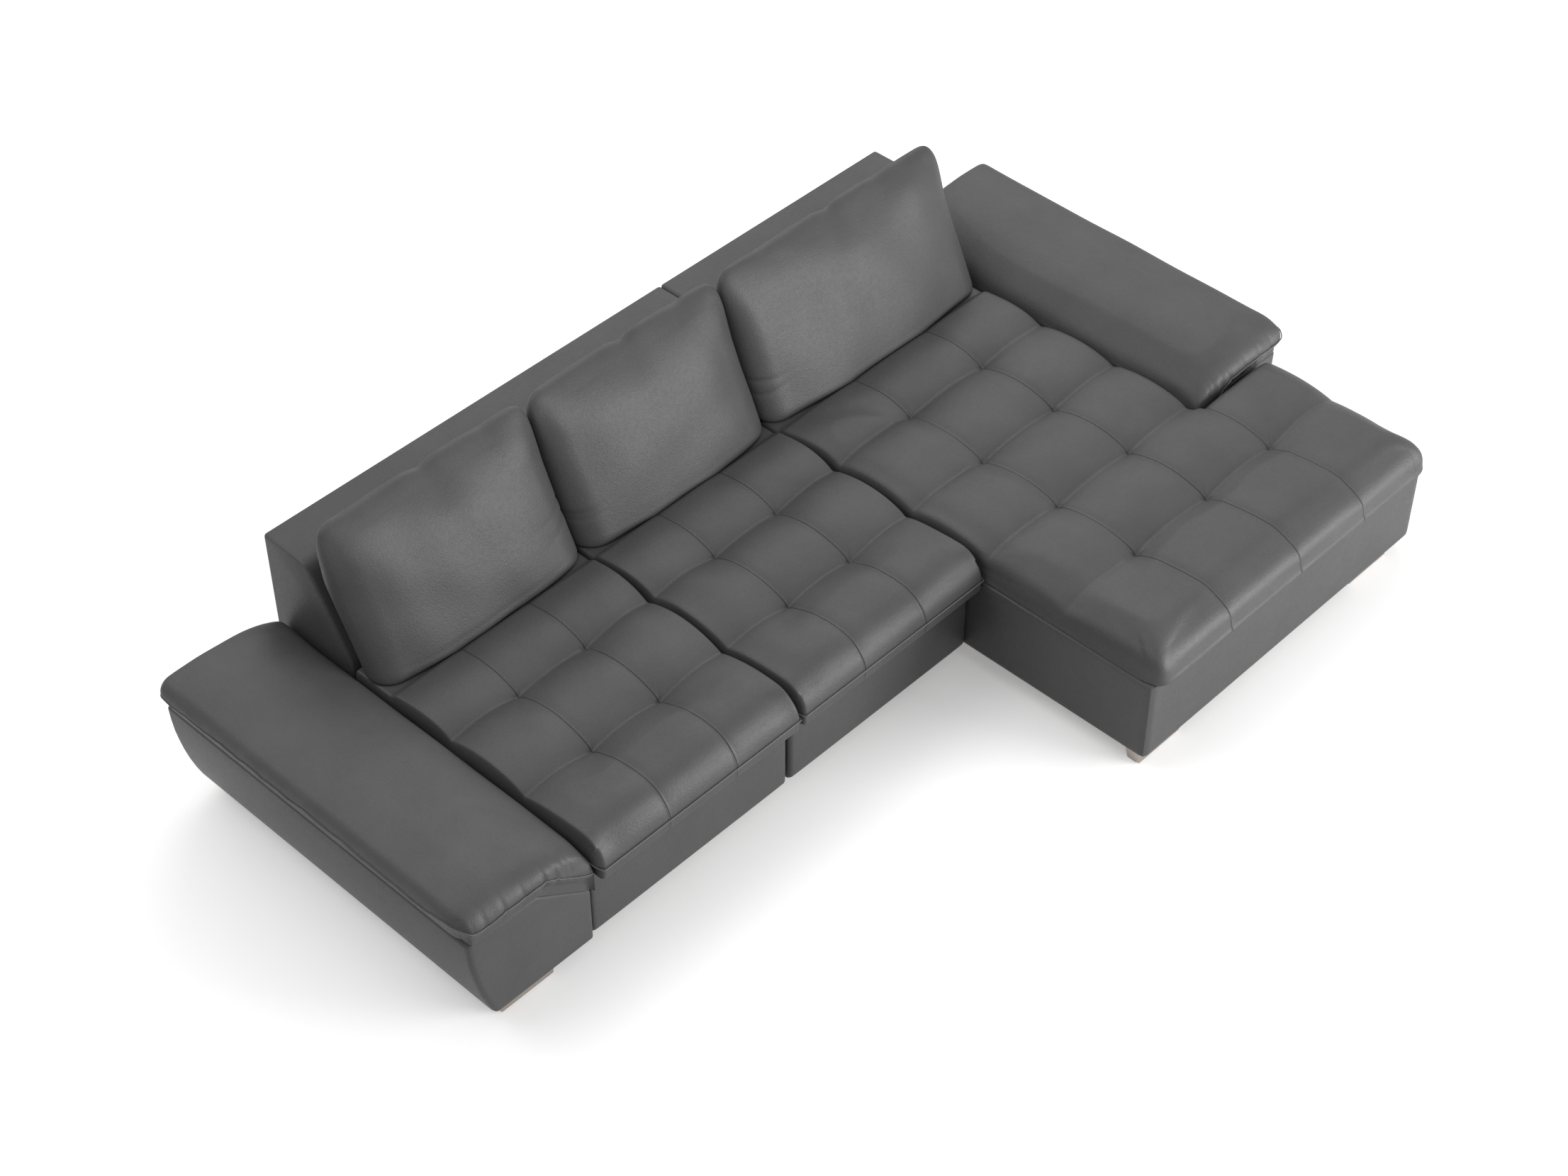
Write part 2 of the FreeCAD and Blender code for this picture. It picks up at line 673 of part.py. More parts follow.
def build_seat(name, low_x):
    width = number("seat_width - cushion_gap")
    start = number(low_x) + number("cushion_gap") / 2
    pitch = width / number("seat_columns")
    wires = [seat_section(start + d, d, width) for d in stations(width, pitch)]
    node(soft(name, loft(wires)), name)


build_seat("left_seat_cushion", "seat_left")
build_seat("right_seat_cushion", "seat_mid")


def chaise_section(x, distance, width, rear, wing):
    """One cross-section of the chaise cushion. In the wing it ends at the right arm."""
    pitch = number("chaise_foot_width") / number("chaise_columns")
    rise = swell(distance / pitch % 1)
    drop = side_drop(min(distance, width - distance))
    nose = number("chaise_nose")
    base = number("lid_base")
    tuft = number("chaise_tuft")
    crease = tuft + number("tuft_rise") * rise - drop
    crown = number("chaise_crown") - number("seam_drop") * (1 - rise) - drop
    first = nose + number("chaise_first_row")
    row = number("row_pitch")

    def at(y, z):
        return Vector(x, y, z)

    lip = base + 0.92 * (crown - base)
    edges = [
        line(at(rear, base), at(nose + 17, base)),
        arc(at(nose + 17, base), at(nose, (base + lip) / 2), at(nose + 17, lip)),
        arc(at(nose + 17, lip), at(nose + 34, crown - 4), at(nose + 76, crown)),
        arc(at(nose + 76, crown), at((nose + 76 + first) / 2, crown - 3), at(first, crease)),
    ]
    y = first
    if wing:
        fall = crown - 16
        edges.append(arc(at(y, crease), at((y + rear) / 2, crown - 3), at(rear, fall)))
        edges.append(line(at(rear, fall), at(rear, base)))
        return Part.Wire(edges)
    stand = number("shelf_front")
    while y + row < stand - row / 4:
        edges.append(arc(at(y, crease), at(y + row / 2, crown), at(y + row, crease)))
        y += row
    shelf = number("seat_shelf - shelf_ease") - drop
    edges.append(arc(at(y, crease), at((y + stand) / 2, (crown + shelf) / 2 + 8), at(stand, shelf)))
    edges.append(line(at(stand, shelf), at(rear, shelf)))
    edges.append(line(at(rear, shelf), at(rear, base)))
    return Part.Wire(edges)


def build_chaise_cushion():
    """An L of tufted patches: full length beside the arm, and a wing in front of it."""
    start = number("chaise_left")
    full = number("cushion_foot_width")
    inner = number("chaise_width - chaise_side_gap")
    pitch = number("chaise_foot_width") / number("chaise_columns")
    spots = stations(full, pitch)
    main = [d for d in spots if d < inner - 20] + [inner]
    wing = [inner] + [d for d in spots if d > inner + 12]
    rear = number("lid_rear")
    long_part = loft([chaise_section(start + d, d, full, rear, False) for d in main])
    foot_part = loft([chaise_section(start + d, d, full, number("wing_rear"), True) for d in wing])
    whole = long_part.fuse(foot_part)
    return soft("chaise_cushion_form", whole.Solids[0])


chaise_form = build_chaise_cushion()

lid_low_x = "chaise_left + lid_board_inset"
lid_high_x = "chaise_right - chaise_side_gap - lid_board_inset"
lid_foot_x = "chaise_left + cushion_foot_width - lid_board_inset"
lid_front = "box_face + lid_board_inset"
lid_step = "wing_rear - lid_board_inset"
lid_corners = [
    (lid_low_x, lid_front),
    (lid_foot_x, lid_front),
    (lid_foot_x, lid_step),
    (lid_high_x, lid_step),
    (lid_high_x, "lid_rear"),
    (lid_low_x, "lid_rear"),
]
through = 5


def grown(corners, extra):
    """The lid's outline widened by a clearance on its front and its sides."""
    signs = [(-1, -1), (1, -1), (1, 1), (1, 1), (1, 1), (-1, 1)]
    return [("%s + (%d) * (%s)" % (x, sx, extra), "%s + (%d) * (%s)" % (y, sy, extra))
            for (x, y), (sx, sy) in zip(corners, signs)]


node(prism("chaise_lid_board", "XY_Plane", lid_corners, "lid_board", ("0", "0", "lid_base")),
     "chaise_lid_board")
lid_room = prism("chaise_lid_room", "XY_Plane", grown(lid_corners, "soft_gap"),
                 "lid_board + soft_gap + %d" % through, ("0", "0", "lid_base - %d" % through))
node(cut("chaise_cushion", chaise_form, [lid_room]), "chaise_cushion")

# Chaise box: an upholstered skirt on three and a half sides over a plywood box.

skirt_corners = [
    ("0", "0"),
    ("chaise_foot_width", "0"),
    ("chaise_foot_width", "chaise_step - soft_gap"),
    ("chaise_width - 2 * soft_gap", "chaise_step - soft_gap"),
    ("chaise_width - 2 * soft_gap", "back_front - box_face - soft_gap"),
    ("0", "back_front - box_face - soft_gap"),
]
hollow_corners = [
    ("skin", "skin"),
    ("chaise_foot_width - skin", "skin"),
    ("chaise_foot_width - skin", "chaise_step - soft_gap - skin"),
    ("chaise_width - 2 * soft_gap - skin", "chaise_step - soft_gap - skin"),
    ("chaise_width - 2 * soft_gap - skin", "back_front - box_face + %d" % through),
    ("skin", "back_front - box_face + %d" % through),
]
box_height = "box_top - foot_height"
skirt = prism("chaise_skirt", "XY_Plane", skirt_corners, box_height,
              ("chaise_left + soft_gap", "box_face", "foot_height"))
round_edges(skirt, "box_corner_round",
            lambda e: all(touches(p, x="chaise_foot_width", y="0") for p in ends(e)))
skirt_hollow = prism("chaise_skirt_hollow", "XY_Plane", hollow_corners,
                     "%s + %d" % (box_height, 2 * through),
                     ("chaise_left + soft_gap", "box_face", "foot_height - %d" % through))

bolt_x = "chaise_left - soft_gap - rail_thick"
bolt_reach = "rail_thick + skin + board + 2 * soft_gap + bolt_end"
bolt_y = ["rail_face + bolt_inset", "frame_rear - bolt_inset"]
bolt_z = "rail_top - rail_height / 2"


def bolt_bores(name):
    return [rod("%s_bore_%d" % (name, i), ("%s - bolt_end" % bolt_x, y, bolt_z),
                "bolt_radius + pin_clear", bolt_reach + " + 2 * bolt_end", "x")
            for i, y in enumerate(bolt_y)]


node(cut("chaise_cover", skirt, [skirt_hollow] + bolt_bores("cover")), "chaise_cover")
node(group("seat_cross_rails", [left_cross, middle_cross,
                                cut("seat_cross_rail_right", right_cross_blank,
                                    bolt_bores("rail"))]), "seat_cross_rails")

inset = "(skin + soft_gap)"
box_x = "chaise_left + soft_gap + " + inset
wall_base = "foot_height + board"
wall_height = "box_top - foot_height - board - soft_gap"
box_inner_right = "chaise_right - soft_gap - " + inset
box_outer_right = "chaise_left + soft_gap + chaise_foot_width - " + inset
step_wall = "box_step - soft_gap - " + inset
box_rear = "back_front - 2 * soft_gap"

node(cut("chaise_left_board",
         block("chaise_left_board_blank", (box_x, "box_face + " + inset, wall_base),
               ("board", "%s - (box_face + %s)" % (box_rear, inset), wall_height)),
         bolt_bores("board")), "chaise_left_board")
node(block("chaise_front_board", (box_x + " + board", "box_face + " + inset, wall_base),
           ("%s - (%s) - 2 * board" % (box_outer_right, box_x), "board", wall_height)),
     "chaise_front_board")
node(block("chaise_outer_board", (box_outer_right + " - board", "box_face + " + inset, wall_base),
           ("board", "%s - (box_face + %s)" % (step_wall, inset), wall_height)),
     "chaise_outer_board")
node(block("chaise_step_board", (box_inner_right, step_wall + " - board", wall_base),
           ("%s - board - (%s)" % (box_outer_right, box_inner_right), "board", wall_height)),
     "chaise_step_board")
node(block("chaise_inner_board", (box_inner_right + " - board", step_wall + " - board", wall_base),
           ("board", "%s - (%s - board)" % (box_rear, step_wall), wall_height)),
     "chaise_inner_board")
node(block("chaise_rear_board", (box_x + " + board", "hinge_wall", wall_base),
           ("%s - (%s) - 2 * board" % (box_inner_right, box_x), "board",
            wall_height + " - rear_board_drop")), "chaise_rear_board")

floor_corners = [
    ("0", "0"),
    ("chaise_foot_width - 2 * " + inset, "0"),
    ("chaise_foot_width - 2 * " + inset, "chaise_step - soft_gap - 2 * " + inset),
    ("chaise_width - 2 * soft_gap - 2 * " + inset, "chaise_step - soft_gap - 2 * " + inset),
    ("chaise_width - 2 * soft_gap - 2 * " + inset, "%s - box_face - %s" % (box_rear, inset)),
    ("0", "%s - box_face - %s" % (box_rear, inset)),
]
floor_blank = prism("chaise_floor_blank", "XY_Plane", floor_corners, "board",
                    (box_x, "box_face + " + inset, "foot_height"))

bolts = []
for i, y in enumerate(bolt_y):
    head = rod("bolt_head_%d" % i, ("%s - bolt_head" % bolt_x, y, bolt_z),
               "bolt_head_radius", "bolt_head", "x")
    shank = rod("bolt_shank_%d" % i, ("%s - bolt_head / 2" % bolt_x, y, bolt_z),
                "bolt_radius", "%s + bolt_head / 2" % bolt_reach, "x")
    bolt = doc.addObject("Part::Fuse", "bolt_%d" % i)
    bolt.Base = head
    bolt.Tool = shank
    bolts.append(bolt)
node(group("section_bolts", bolts), "section_bolts")

# Lid hinges: fixed brackets with two ears each, pins, and leaves under the lid board.

hinge_x = ["chaise_left + hinge_inset", "chaise_right - hinge_inset"]
bore = "hinge_pin_radius + pin_clear"
ear_radius = "(knuckle_radius + 1)"
ear_start = "(knuckle_width / 2 + ear_gap)"
bracket_half = "(%s + ear_width)" % ear_start
pin_half = "(%s + 1)" % bracket_half


def hinge_bore(name, x):
    """The hole for a hinge's pin, through everything on its axis."""
    return rod(name, ("%s - 2 * %s" % (x, pin_half), "hinge_y", "hinge_height"), bore,
               "4 * " + pin_half, "x")


brackets, pins, leaves = [], [], []
for i, x in enumerate(hinge_x):
    solids = [block("bracket_plate_%d" % i,
                    ("%s - %s" % (x, bracket_half), "hinge_wall - hinge_plate",
                     "hinge_height - hinge_plate_drop"),
                    ("2 * " + bracket_half, "hinge_plate", "hinge_plate_drop + knuckle_radius"))]
    for j, low in enumerate(("%s - %s" % (x, bracket_half), "%s + %s" % (x, ear_start))):
        solids.append(rod("ear_eye_%d_%d" % (i, j), (low, "hinge_y", "hinge_height"),
                          ear_radius, "ear_width", "x"))
        solids.append(block("ear_arm_%d_%d" % (i, j),
                            (low, "hinge_y", "hinge_height - " + ear_radius),
                            ("ear_width", "hinge_wall - hinge_y", ear_radius + " + knuckle_radius")))
    fused = doc.addObject("Part::MultiFuse", "bracket_blank_%d" % i)
    fused.Shapes = solids
    brackets.append(cut("bracket_%d" % i, fused, [hinge_bore("bracket_bore_%d" % i, x)]))
    pins.append(rod("hinge_pin_%d" % i, ("%s - %s" % (x, pin_half), "hinge_y", "hinge_height"),
                    "hinge_pin_radius", "2 * " + pin_half, "x"))
    low = "%s - knuckle_width / 2" % x
    leaf = doc.addObject("Part::MultiFuse", "leaf_blank_%d" % i)
    leaf.Shapes = [
        rod("knuckle_%d" % i, (low, "hinge_y", "hinge_height"), "knuckle_radius",
            "knuckle_width", "x"),
        block("leaf_arm_%d" % i,
              (low, "lid_rear - leaf_length", "lid_base - leaf_thick"),
              ("knuckle_width", "hinge_y - lid_rear + leaf_length", "leaf_thick")),
    ]
    leaves.append(cut("leaf_%d" % i, leaf, [hinge_bore("leaf_bore_%d" % i, x)]))
node(group("lid_hinge_brackets", brackets), "lid_hinge_brackets")
node(group("lid_hinge_pins", pins), "lid_hinge_pins")
node(group("lid_hinge_leaves", leaves), "lid_hinge_leaves")

# Drawers: a padded front on a plywood box that runs on steel slides.


def build_drawer(side, low_x):
    """One bedding drawer. low_x is the left limit of its bay."""
    front_x = "%s + drawer_gap" % low_x
    front_width = "seat_width - 2 * drawer_gap"
    front_base = "foot_height"
    front_height = "seat_base - foot_height - drawer_top_gap"
    body = prism(side + "_drawer_front", "XZ_Plane",
                 [("0", "0"), (front_width, "0"), (front_width, front_height), ("0", front_height)],
                 "drawer_pad", (front_x, "drawer_face + drawer_pad", front_base))
    round_edges(body, "drawer_edge_round",
                lambda e: all(touches(p, y="-drawer_pad") for p in ends(e)))
    node(body, side + "_drawer_front")
    node(block(side + "_drawer_front_board",
               (front_x + " + front_board_inset", "drawer_face + drawer_pad",
                front_base + " + front_board_inset"),
               (front_width + " - 2 * front_board_inset", "board",
                front_height + " - 2 * front_board_inset")),
         side + "_drawer_front_board")
    side_x = "%s + board / 2 + slide_gap" % low_x
    inner_width = "seat_width - board - 2 * slide_gap"
    wall_y = "drawer_face + drawer_pad + board"
    walls = [block("%s_drawer_side_%d" % (side, i), (x, wall_y, "drawer_floor_height"),
                   ("thin_board", "drawer_depth", "drawer_side_height"))
             for i, x in enumerate((side_x, "%s + %s - thin_board" % (side_x, inner_width)))]
    node(group(side + "_drawer_sides", walls), side + "_drawer_sides")
    node(block(side + "_drawer_back",
               (side_x + " + thin_board", wall_y + " + drawer_depth - thin_board",
                "drawer_floor_height"),
               (inner_width + " - 2 * thin_board", "thin_board", "drawer_side_height")),
         side + "_drawer_back")
    node(block(side + "_drawer_floor",
               (side_x + " + thin_board", wall_y, "drawer_floor_height"),
               (inner_width + " - 2 * thin_board", "drawer_depth - thin_board",
                "drawer_floor_board")), side + "_drawer_floor")
    moving, fixed = [], []
    half = "(slide_gap / 2 - soft_gap / 2)"
    for i, (x, outer) in enumerate((
            ("%s - %s" % (side_x, half), "%s - slide_gap" % side_x),
            ("%s + %s" % (side_x, inner_width),
             "%s + %s + slide_gap - %s" % (side_x, inner_width, half)))):
        slide_size = (half, "drawer_depth - slide_short", "slide_height")
        slide_y = "rail_face + slide_lead"
        moving.append(block("%s_slide_%d" % (side, i), (x, slide_y, "slide_base"), slide_size))
        fixed.append(block("%s_runner_%d" % (side, i), (outer, slide_y, "slide_base"), slide_size))
    node(group(side + "_drawer_slides", moving), side + "_drawer_slides")
    return fixed


runners = build_drawer("left", "seat_left") + build_drawer("right", "seat_mid")

# Runner boards carry the outer runners beside the arm and beside the chaise.

node(group("drawer_runners", runners), "drawer_runners")
runner_boards = [
    block("runner_board_left", (frame_left, "rail_face + soft_gap", "foot_height"),
          ("board / 2 - soft_gap", "frame_rear - rail_face - soft_gap", "%s - foot_height" % rail_base)),
    block("runner_board_right", ("chaise_left - board / 2", "rail_face + soft_gap", "foot_height"),
          ("board / 2 - soft_gap", "frame_rear - rail_face - soft_gap", "%s - foot_height" % rail_base)),
]
node(group("runner_boards", runner_boards), "runner_boards")

# Back cushions: crowned in front, drawn in at the sides, leaning on the backs.


def back_cushion_section(x, fullness, spread):
    """One cross-section. fullness is 1 in the middle and less towards the sides."""
    lean = number("back_slope")
    gap = number("soft_gap") * math.hypot(1, lean) + number("back_cushion_ease")
    back_y = number("back_front") - gap
    bend = number("back_bend_height")
    foot_z = number("seat_shelf + soft_gap")
    top_z = number("back_cushion_top") - number("back_cushion_shoulder") * (1 - spread)
    deep = number("back_cushion_front")
    crown = number("back_cushion_crown")
    front_lean = number("back_cushion_lean")
    pull = deep * (1 - fullness) / 2

    def rear_at(z):
        return back_y + max(0.0, z - bend) * lean - pull

    def front_at(z):
        return number("back_front") - deep + (z - foot_z) * front_lean + pull

    def at(y, z):
        return Vector(x, y, z)

    upper = foot_z + 0.6 * (top_z - foot_z)
    middle = (foot_z + top_z) / 2
    tip = at((rear_at(upper) + front_at(top_z)) / 2 + 8, top_z)
    rear_top = at(rear_at(upper), upper)
    front_top = at(front_at(top_z - 40) - 2, top_z - 40)
    front_foot = at(front_at(foot_z) + 3, foot_z + 14)
    return Part.Wire([
        line(at(rear_at(bend), foot_z), at(front_at(foot_z) + 18, foot_z)),
        arc(at(front_at(foot_z) + 18, foot_z), at(front_at(foot_z) + 7, foot_z + 4), front_foot),
        arc(front_foot, at(front_at(middle) - crown * fullness, middle), front_top),
        arc(front_top, at(front_at(top_z) + 10, top_z - 10), tip),
        arc(tip, at(rear_at(upper) - 12, top_z - 0.4 * (top_z - upper)), rear_top),
        line(rear_top, at(rear_at(bend), bend + 1)),
        line(at(rear_at(bend), bend + 1), at(rear_at(bend), foot_z)),
    ])


def build_back_cushion(name, low_x, width):
    gap = number("cushion_gap")
    start = number(low_x) + gap
    span = number(width) - 2 * gap
    side = number("back_cushion_side")
    wires = []
    for part in (0.0, 0.02, 0.07, 0.18, 0.34, 0.5, 0.66, 0.82, 0.93, 0.98, 1.0):
        reach = min(1.0, min(part, 1 - part) / 0.34)
        spread = math.sqrt(1 - (1 - reach) ** 4)
        wires.append(back_cushion_section(start + part * span, side + (1 - side) * spread, spread))
    node(soft(name, loft(wires)), name)


build_back_cushion("left_back_cushion", "seat_left", "seat_width")
build_back_cushion("middle_back_cushion", "seat_mid", "seat_width")
build_back_cushion("chaise_back_cushion", "chaise_left", "chaise_width - chaise_side_gap")

# Feet: tapered metal blocks with a felt glide and a threaded stud each.

left_foot_x = "seat_left - (arm_side_foot + foot_length) / 2 - arm_foot_shift"
right_foot_x = "chaise_right + (arm_side_foot - foot_length) / 2 + right_foot_shift"
front_feet = [
    ("left_arm_front_foot", left_foot_x, "left_arm_front + arm_foot_inset"),
    ("chaise_left_foot", "chaise_left + skin", "box_face + chaise_foot_inset"),
    ("chaise_right_foot", "chaise_left + chaise_foot_width - foot_side_inset - foot_length",
     "box_face + chaise_foot_inset"),
]
rear_feet = [
    ("left_arm_rear_foot", left_foot_x, "left_arm_rear - arm_foot_inset - foot_depth"),
    ("chaise_rear_foot", "chaise_left + (chaise_width - foot_length) / 2",
     "back_front - chaise_rear_foot_inset - foot_depth"),
    ("right_arm_rear_foot", right_foot_x, "right_arm_rear - arm_foot_inset - foot_depth"),
    ("right_arm_front_foot", right_foot_x, "right_arm_front + right_foot_inset"),
]


def build_foot(name, x, y):
    """A block that is longer and deeper at the top, with a blind hole for its stud."""
    body = doc.addObject("PartDesign::Body", name + "_body")
    doc.recompute()
    foot_outline = [("foot_taper", "foot_taper"), ("foot_length - foot_taper", "foot_taper"),
                    ("foot_length - foot_taper", "foot_depth - foot_taper"),
                    ("foot_taper", "foot_depth - foot_taper")]
    lower = outline(body, origin_plane(body, "XY_Plane"), foot_outline)
    pad = body.newObject("PartDesign::Pad", name + "_pad")
    pad.Profile = lower
    bind(pad, "Length", "foot_height - glide")
    bind(pad, "TaperAngle", "atan(foot_taper / (foot_height - glide)) / 1 deg")
    put(body, (x, y, "glide"))
    doc.recompute()
    centre = ("%s + foot_length / 2" % x, "%s + foot_depth / 2" % y)
    hole = rod(name + "_hole", (centre[0], centre[1], "foot_height - stud_depth - 1"),
               "stud_radius + pin_clear", "stud_depth + %d" % through)
    return cut(name, body, [hole]), centre


feet, glides, studs, stud_places = [], [], [], {}
for name, x, y in front_feet + rear_feet:
    foot, centre = build_foot(name, x, y)
    glides.append(block(name + "_glide", (x + " + foot_taper + 2", y + " + foot_taper + 2", "0"),
                        ("foot_length - 2 * foot_taper - 4", "foot_depth - 2 * foot_taper - 4",
                         "glide")))
    studs.append(rod(name + "_stud", (centre[0], centre[1], "foot_height - stud_depth"),
                     "stud_radius", "stud_depth + board - 2"))
    stud_places[name] = centre
    if (name, x, y) in front_feet:
        node(foot, name)
    else:
        feet.append(foot)
node(group("rear_feet", feet), "rear_feet")
node(group("foot_glides", glides), "foot_glides")
node(group("foot_studs", studs), "foot_studs")


def drilled(base, label, names):
    """A base board with a hole for each foot's stud."""
    holes = [rod("%s_%s_hole" % (label, name),
                 (stud_places[name][0], stud_places[name][1], "foot_height - %d" % through),
                 "stud_radius + pin_clear", "board + %d" % (2 * through)) for name in names]
    node(cut(label, base, holes), label)


drilled(left_arm_base, "left_arm_base_board", ["left_arm_front_foot", "left_arm_rear_foot"])
drilled(right_arm_base, "right_arm_base_board", ["right_arm_front_foot", "right_arm_rear_foot"])
drilled(floor_blank, "chaise_floor_board",
        ["chaise_left_foot", "chaise_right_foot", "chaise_rear_foot"])

# Every piece is checked before any file is written.

doc.recompute()
faults = [thing.Name for thing in doc.Objects if set(thing.State) & {"Invalid", "Error"}]
for piece in nodes:
    shape = piece.Shape
    if shape.isNull() or not shape.isValid() or not shape.Solids:
        faults.append(piece.Label)
if faults:
    raise RuntimeError("these pieces failed: " + ", ".join(faults))

os.makedirs("parts", exist_ok=True)
for piece in nodes:
    piece.Shape.exportStep(os.path.join("parts", piece.Label + ".step"))
print("wrote %d pieces" % len(nodes))
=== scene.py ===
"""The looks of a corner sofa with a chaise: leather, padding, seams, feet, light and camera."""

from __future__ import annotations

import json
import logging
import math
from dataclasses import dataclass
from enum import Enum
from typing import Callable, Sequence

import bpy
import numpy as np
from mathutils import Matrix, Vector
from mathutils.kdtree import KDTree

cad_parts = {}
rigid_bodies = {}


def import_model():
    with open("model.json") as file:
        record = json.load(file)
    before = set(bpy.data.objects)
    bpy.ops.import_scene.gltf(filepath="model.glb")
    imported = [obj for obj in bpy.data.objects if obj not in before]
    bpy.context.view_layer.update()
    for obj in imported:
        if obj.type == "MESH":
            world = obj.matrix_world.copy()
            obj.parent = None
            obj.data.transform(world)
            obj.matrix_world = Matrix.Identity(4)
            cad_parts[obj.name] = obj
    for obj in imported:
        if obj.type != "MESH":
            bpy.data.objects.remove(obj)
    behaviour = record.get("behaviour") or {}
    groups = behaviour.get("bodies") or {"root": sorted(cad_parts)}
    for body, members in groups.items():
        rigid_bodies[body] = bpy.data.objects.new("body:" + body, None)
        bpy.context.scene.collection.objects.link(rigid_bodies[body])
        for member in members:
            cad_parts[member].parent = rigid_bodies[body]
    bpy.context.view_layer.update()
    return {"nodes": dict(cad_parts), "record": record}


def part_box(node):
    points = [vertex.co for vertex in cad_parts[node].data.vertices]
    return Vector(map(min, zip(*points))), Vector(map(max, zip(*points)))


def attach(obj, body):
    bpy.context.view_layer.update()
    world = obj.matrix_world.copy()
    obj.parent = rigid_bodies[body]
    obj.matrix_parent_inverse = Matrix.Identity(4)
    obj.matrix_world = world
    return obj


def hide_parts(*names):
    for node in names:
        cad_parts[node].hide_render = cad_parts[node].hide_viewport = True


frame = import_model()

LOG = logging.getLogger("corner_sofa")
Point = tuple[float, float, float]
Box = tuple[Sequence[float], Sequence[float]]
Rule = Callable[[np.ndarray], np.ndarray]
EdgeTest = Callable[[Vector, Vector], bool]
MILLIMETRE = 0.001
TINY = 1e-9
WHITE = (1.0, 1.0, 1.0, 1.0)


class Hand(Enum):
    """The end of the sofa that a piece belongs to, and its outward direction."""

    LEFT = -1
    RIGHT = 1


# Work at the bench: selecting, adding, cutting, modifying and reading meshes.


def take_up(piece: bpy.types.Object) -> None:
    """Makes a piece the only selected one, and the active one.

    Args:
        piece: the object to work on.
    """
    bpy.ops.object.select_all(action="DESELECT")
    piece.select_set(True)
    bpy.context.view_layer.objects.active = piece


def add_box(name: str, low: Sequence[float], high: Sequence[float]) -> bpy.types.Object:
    """Adds a box between two corners, with its place in its mesh.

    Args:
        name: the piece's name.
        low: its lowest corner.
        high: its highest corner.

    Returns:
        The new object.
    """
    bpy.ops.object.select_all(action="DESELECT")
    middle = [(a + b) / 2 for a, b in zip(low, high)]
    bpy.ops.mesh.primitive_cube_add(size=1.0, location=middle)
    piece = bpy.context.object
    piece.name = name
    piece.scale = [b - a for a, b in zip(low, high)]
    bpy.ops.object.transform_apply(location=True, rotation=True, scale=True)
    return piece


def cut_off(piece: bpy.types.Object, cuts: Sequence[tuple[Point, Point]]) -> None:
    """Cuts a piece along planes and closes it again.

    Args:
        piece: the object.
        cuts: for each plane a point on it, and its direction towards the part that goes.
    """
    take_up(piece)
    bpy.ops.object.mode_set(mode="EDIT")
    for at, normal in cuts:
        bpy.ops.mesh.select_all(action="SELECT")
        away = Vector(normal).normalized()
        bpy.ops.mesh.bisect(plane_co=at, plane_no=away, use_fill=True, clear_outer=True)
    bpy.ops.object.mode_set(mode="OBJECT")


def face_outwards(piece: bpy.types.Object) -> None:
    """Turns a piece's faces outwards.

    Args:
        piece: the object.
    """
    take_up(piece)
    bpy.ops.object.mode_set(mode="EDIT")
    bpy.ops.mesh.select_all(action="SELECT")
    bpy.ops.mesh.normals_make_consistent(inside=False)
    bpy.ops.object.mode_set(mode="OBJECT")


def use_modifier(piece: bpy.types.Object, kind: str, **settings: object) -> None:
    """Adds a modifier and applies it.

    Args:
        piece: the object.
        kind: the modifier's type.
        settings: its properties.
    """
    take_up(piece)
    modifier = piece.modifiers.new(kind.title(), kind)
    for key, value in settings.items():
        setattr(modifier, key, value)
    bpy.ops.object.modifier_apply(modifier=modifier.name)


def points_of(piece: bpy.types.Object) -> np.ndarray:
    """Reads a mesh's vertices, one row each.

    Args:
        piece: a mesh object.

    Returns:
        Its vertices.
    """
    found = np.empty(len(piece.data.vertices) * 3)
    piece.data.vertices.foreach_get("co", found)
    return found.reshape(-1, 3)


def set_points(piece: bpy.types.Object, points: np.ndarray) -> None:
    """Writes a mesh's vertices, one row each."""
    piece.data.vertices.foreach_set("co", points.ravel())
    piece.data.update()


def smooth(piece: bpy.types.Object, angle: float = 180.0) -> None:
    """Shades a piece smooth up to an angle in degrees."""
    take_up(piece)
    bpy.ops.object.shade_smooth_by_angle(angle=math.radians(angle))


def settle(piece: bpy.types.Object, body: str, finish: Finish, nodes: Sequence[str] = ()) -> None:
    """Dresses a piece and ties it to its body.

    Args:
        piece: the finished object.
        body: the body that it moves with.
        finish: its finish.
        nodes: the solids that it stands for.
    """
    piece.data.materials.clear()
    piece.data.materials.append(finish.material())
    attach(piece, body)
    if nodes:
        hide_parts(*nodes)
    LOG.info("%s: %d faces, on %s", piece.name, len(piece.data.polygons), body)


def sew_bead(name: str, path: np.ndarray, radius: float, body: str) -> None:
    """Lays a thin round bead along a path and finishes it as piping, whose lighter tone is a painted
    highlight.

    Args:
        name: the bead's name.
        path: the points of its middle line.
        radius: its radius.
        body: the body that it moves with.
    """
    curve = bpy.data.curves.new(name, "CURVE")
    curve.dimensions = "3D"
    curve.bevel_depth = radius
    curve.bevel_resolution = 2
    curve.use_fill_caps = True
    spline = curve.splines.new("POLY")
    spline.points.add(len(path) - 1)
    spline.points.foreach_set("co", np.column_stack([path, np.ones(len(path))]).ravel())
    line = bpy.data.objects.new(name, curve)
    bpy.context.collection.objects.link(line)
    take_up(line)
    bpy.ops.object.convert(target="MESH")
    bead = bpy.context.object
    smooth(bead)
    # The bead's lighter piping leather is a painted highlight.
    settle(bead, body, PIPING_PAINTED_HIGHLIGHT)


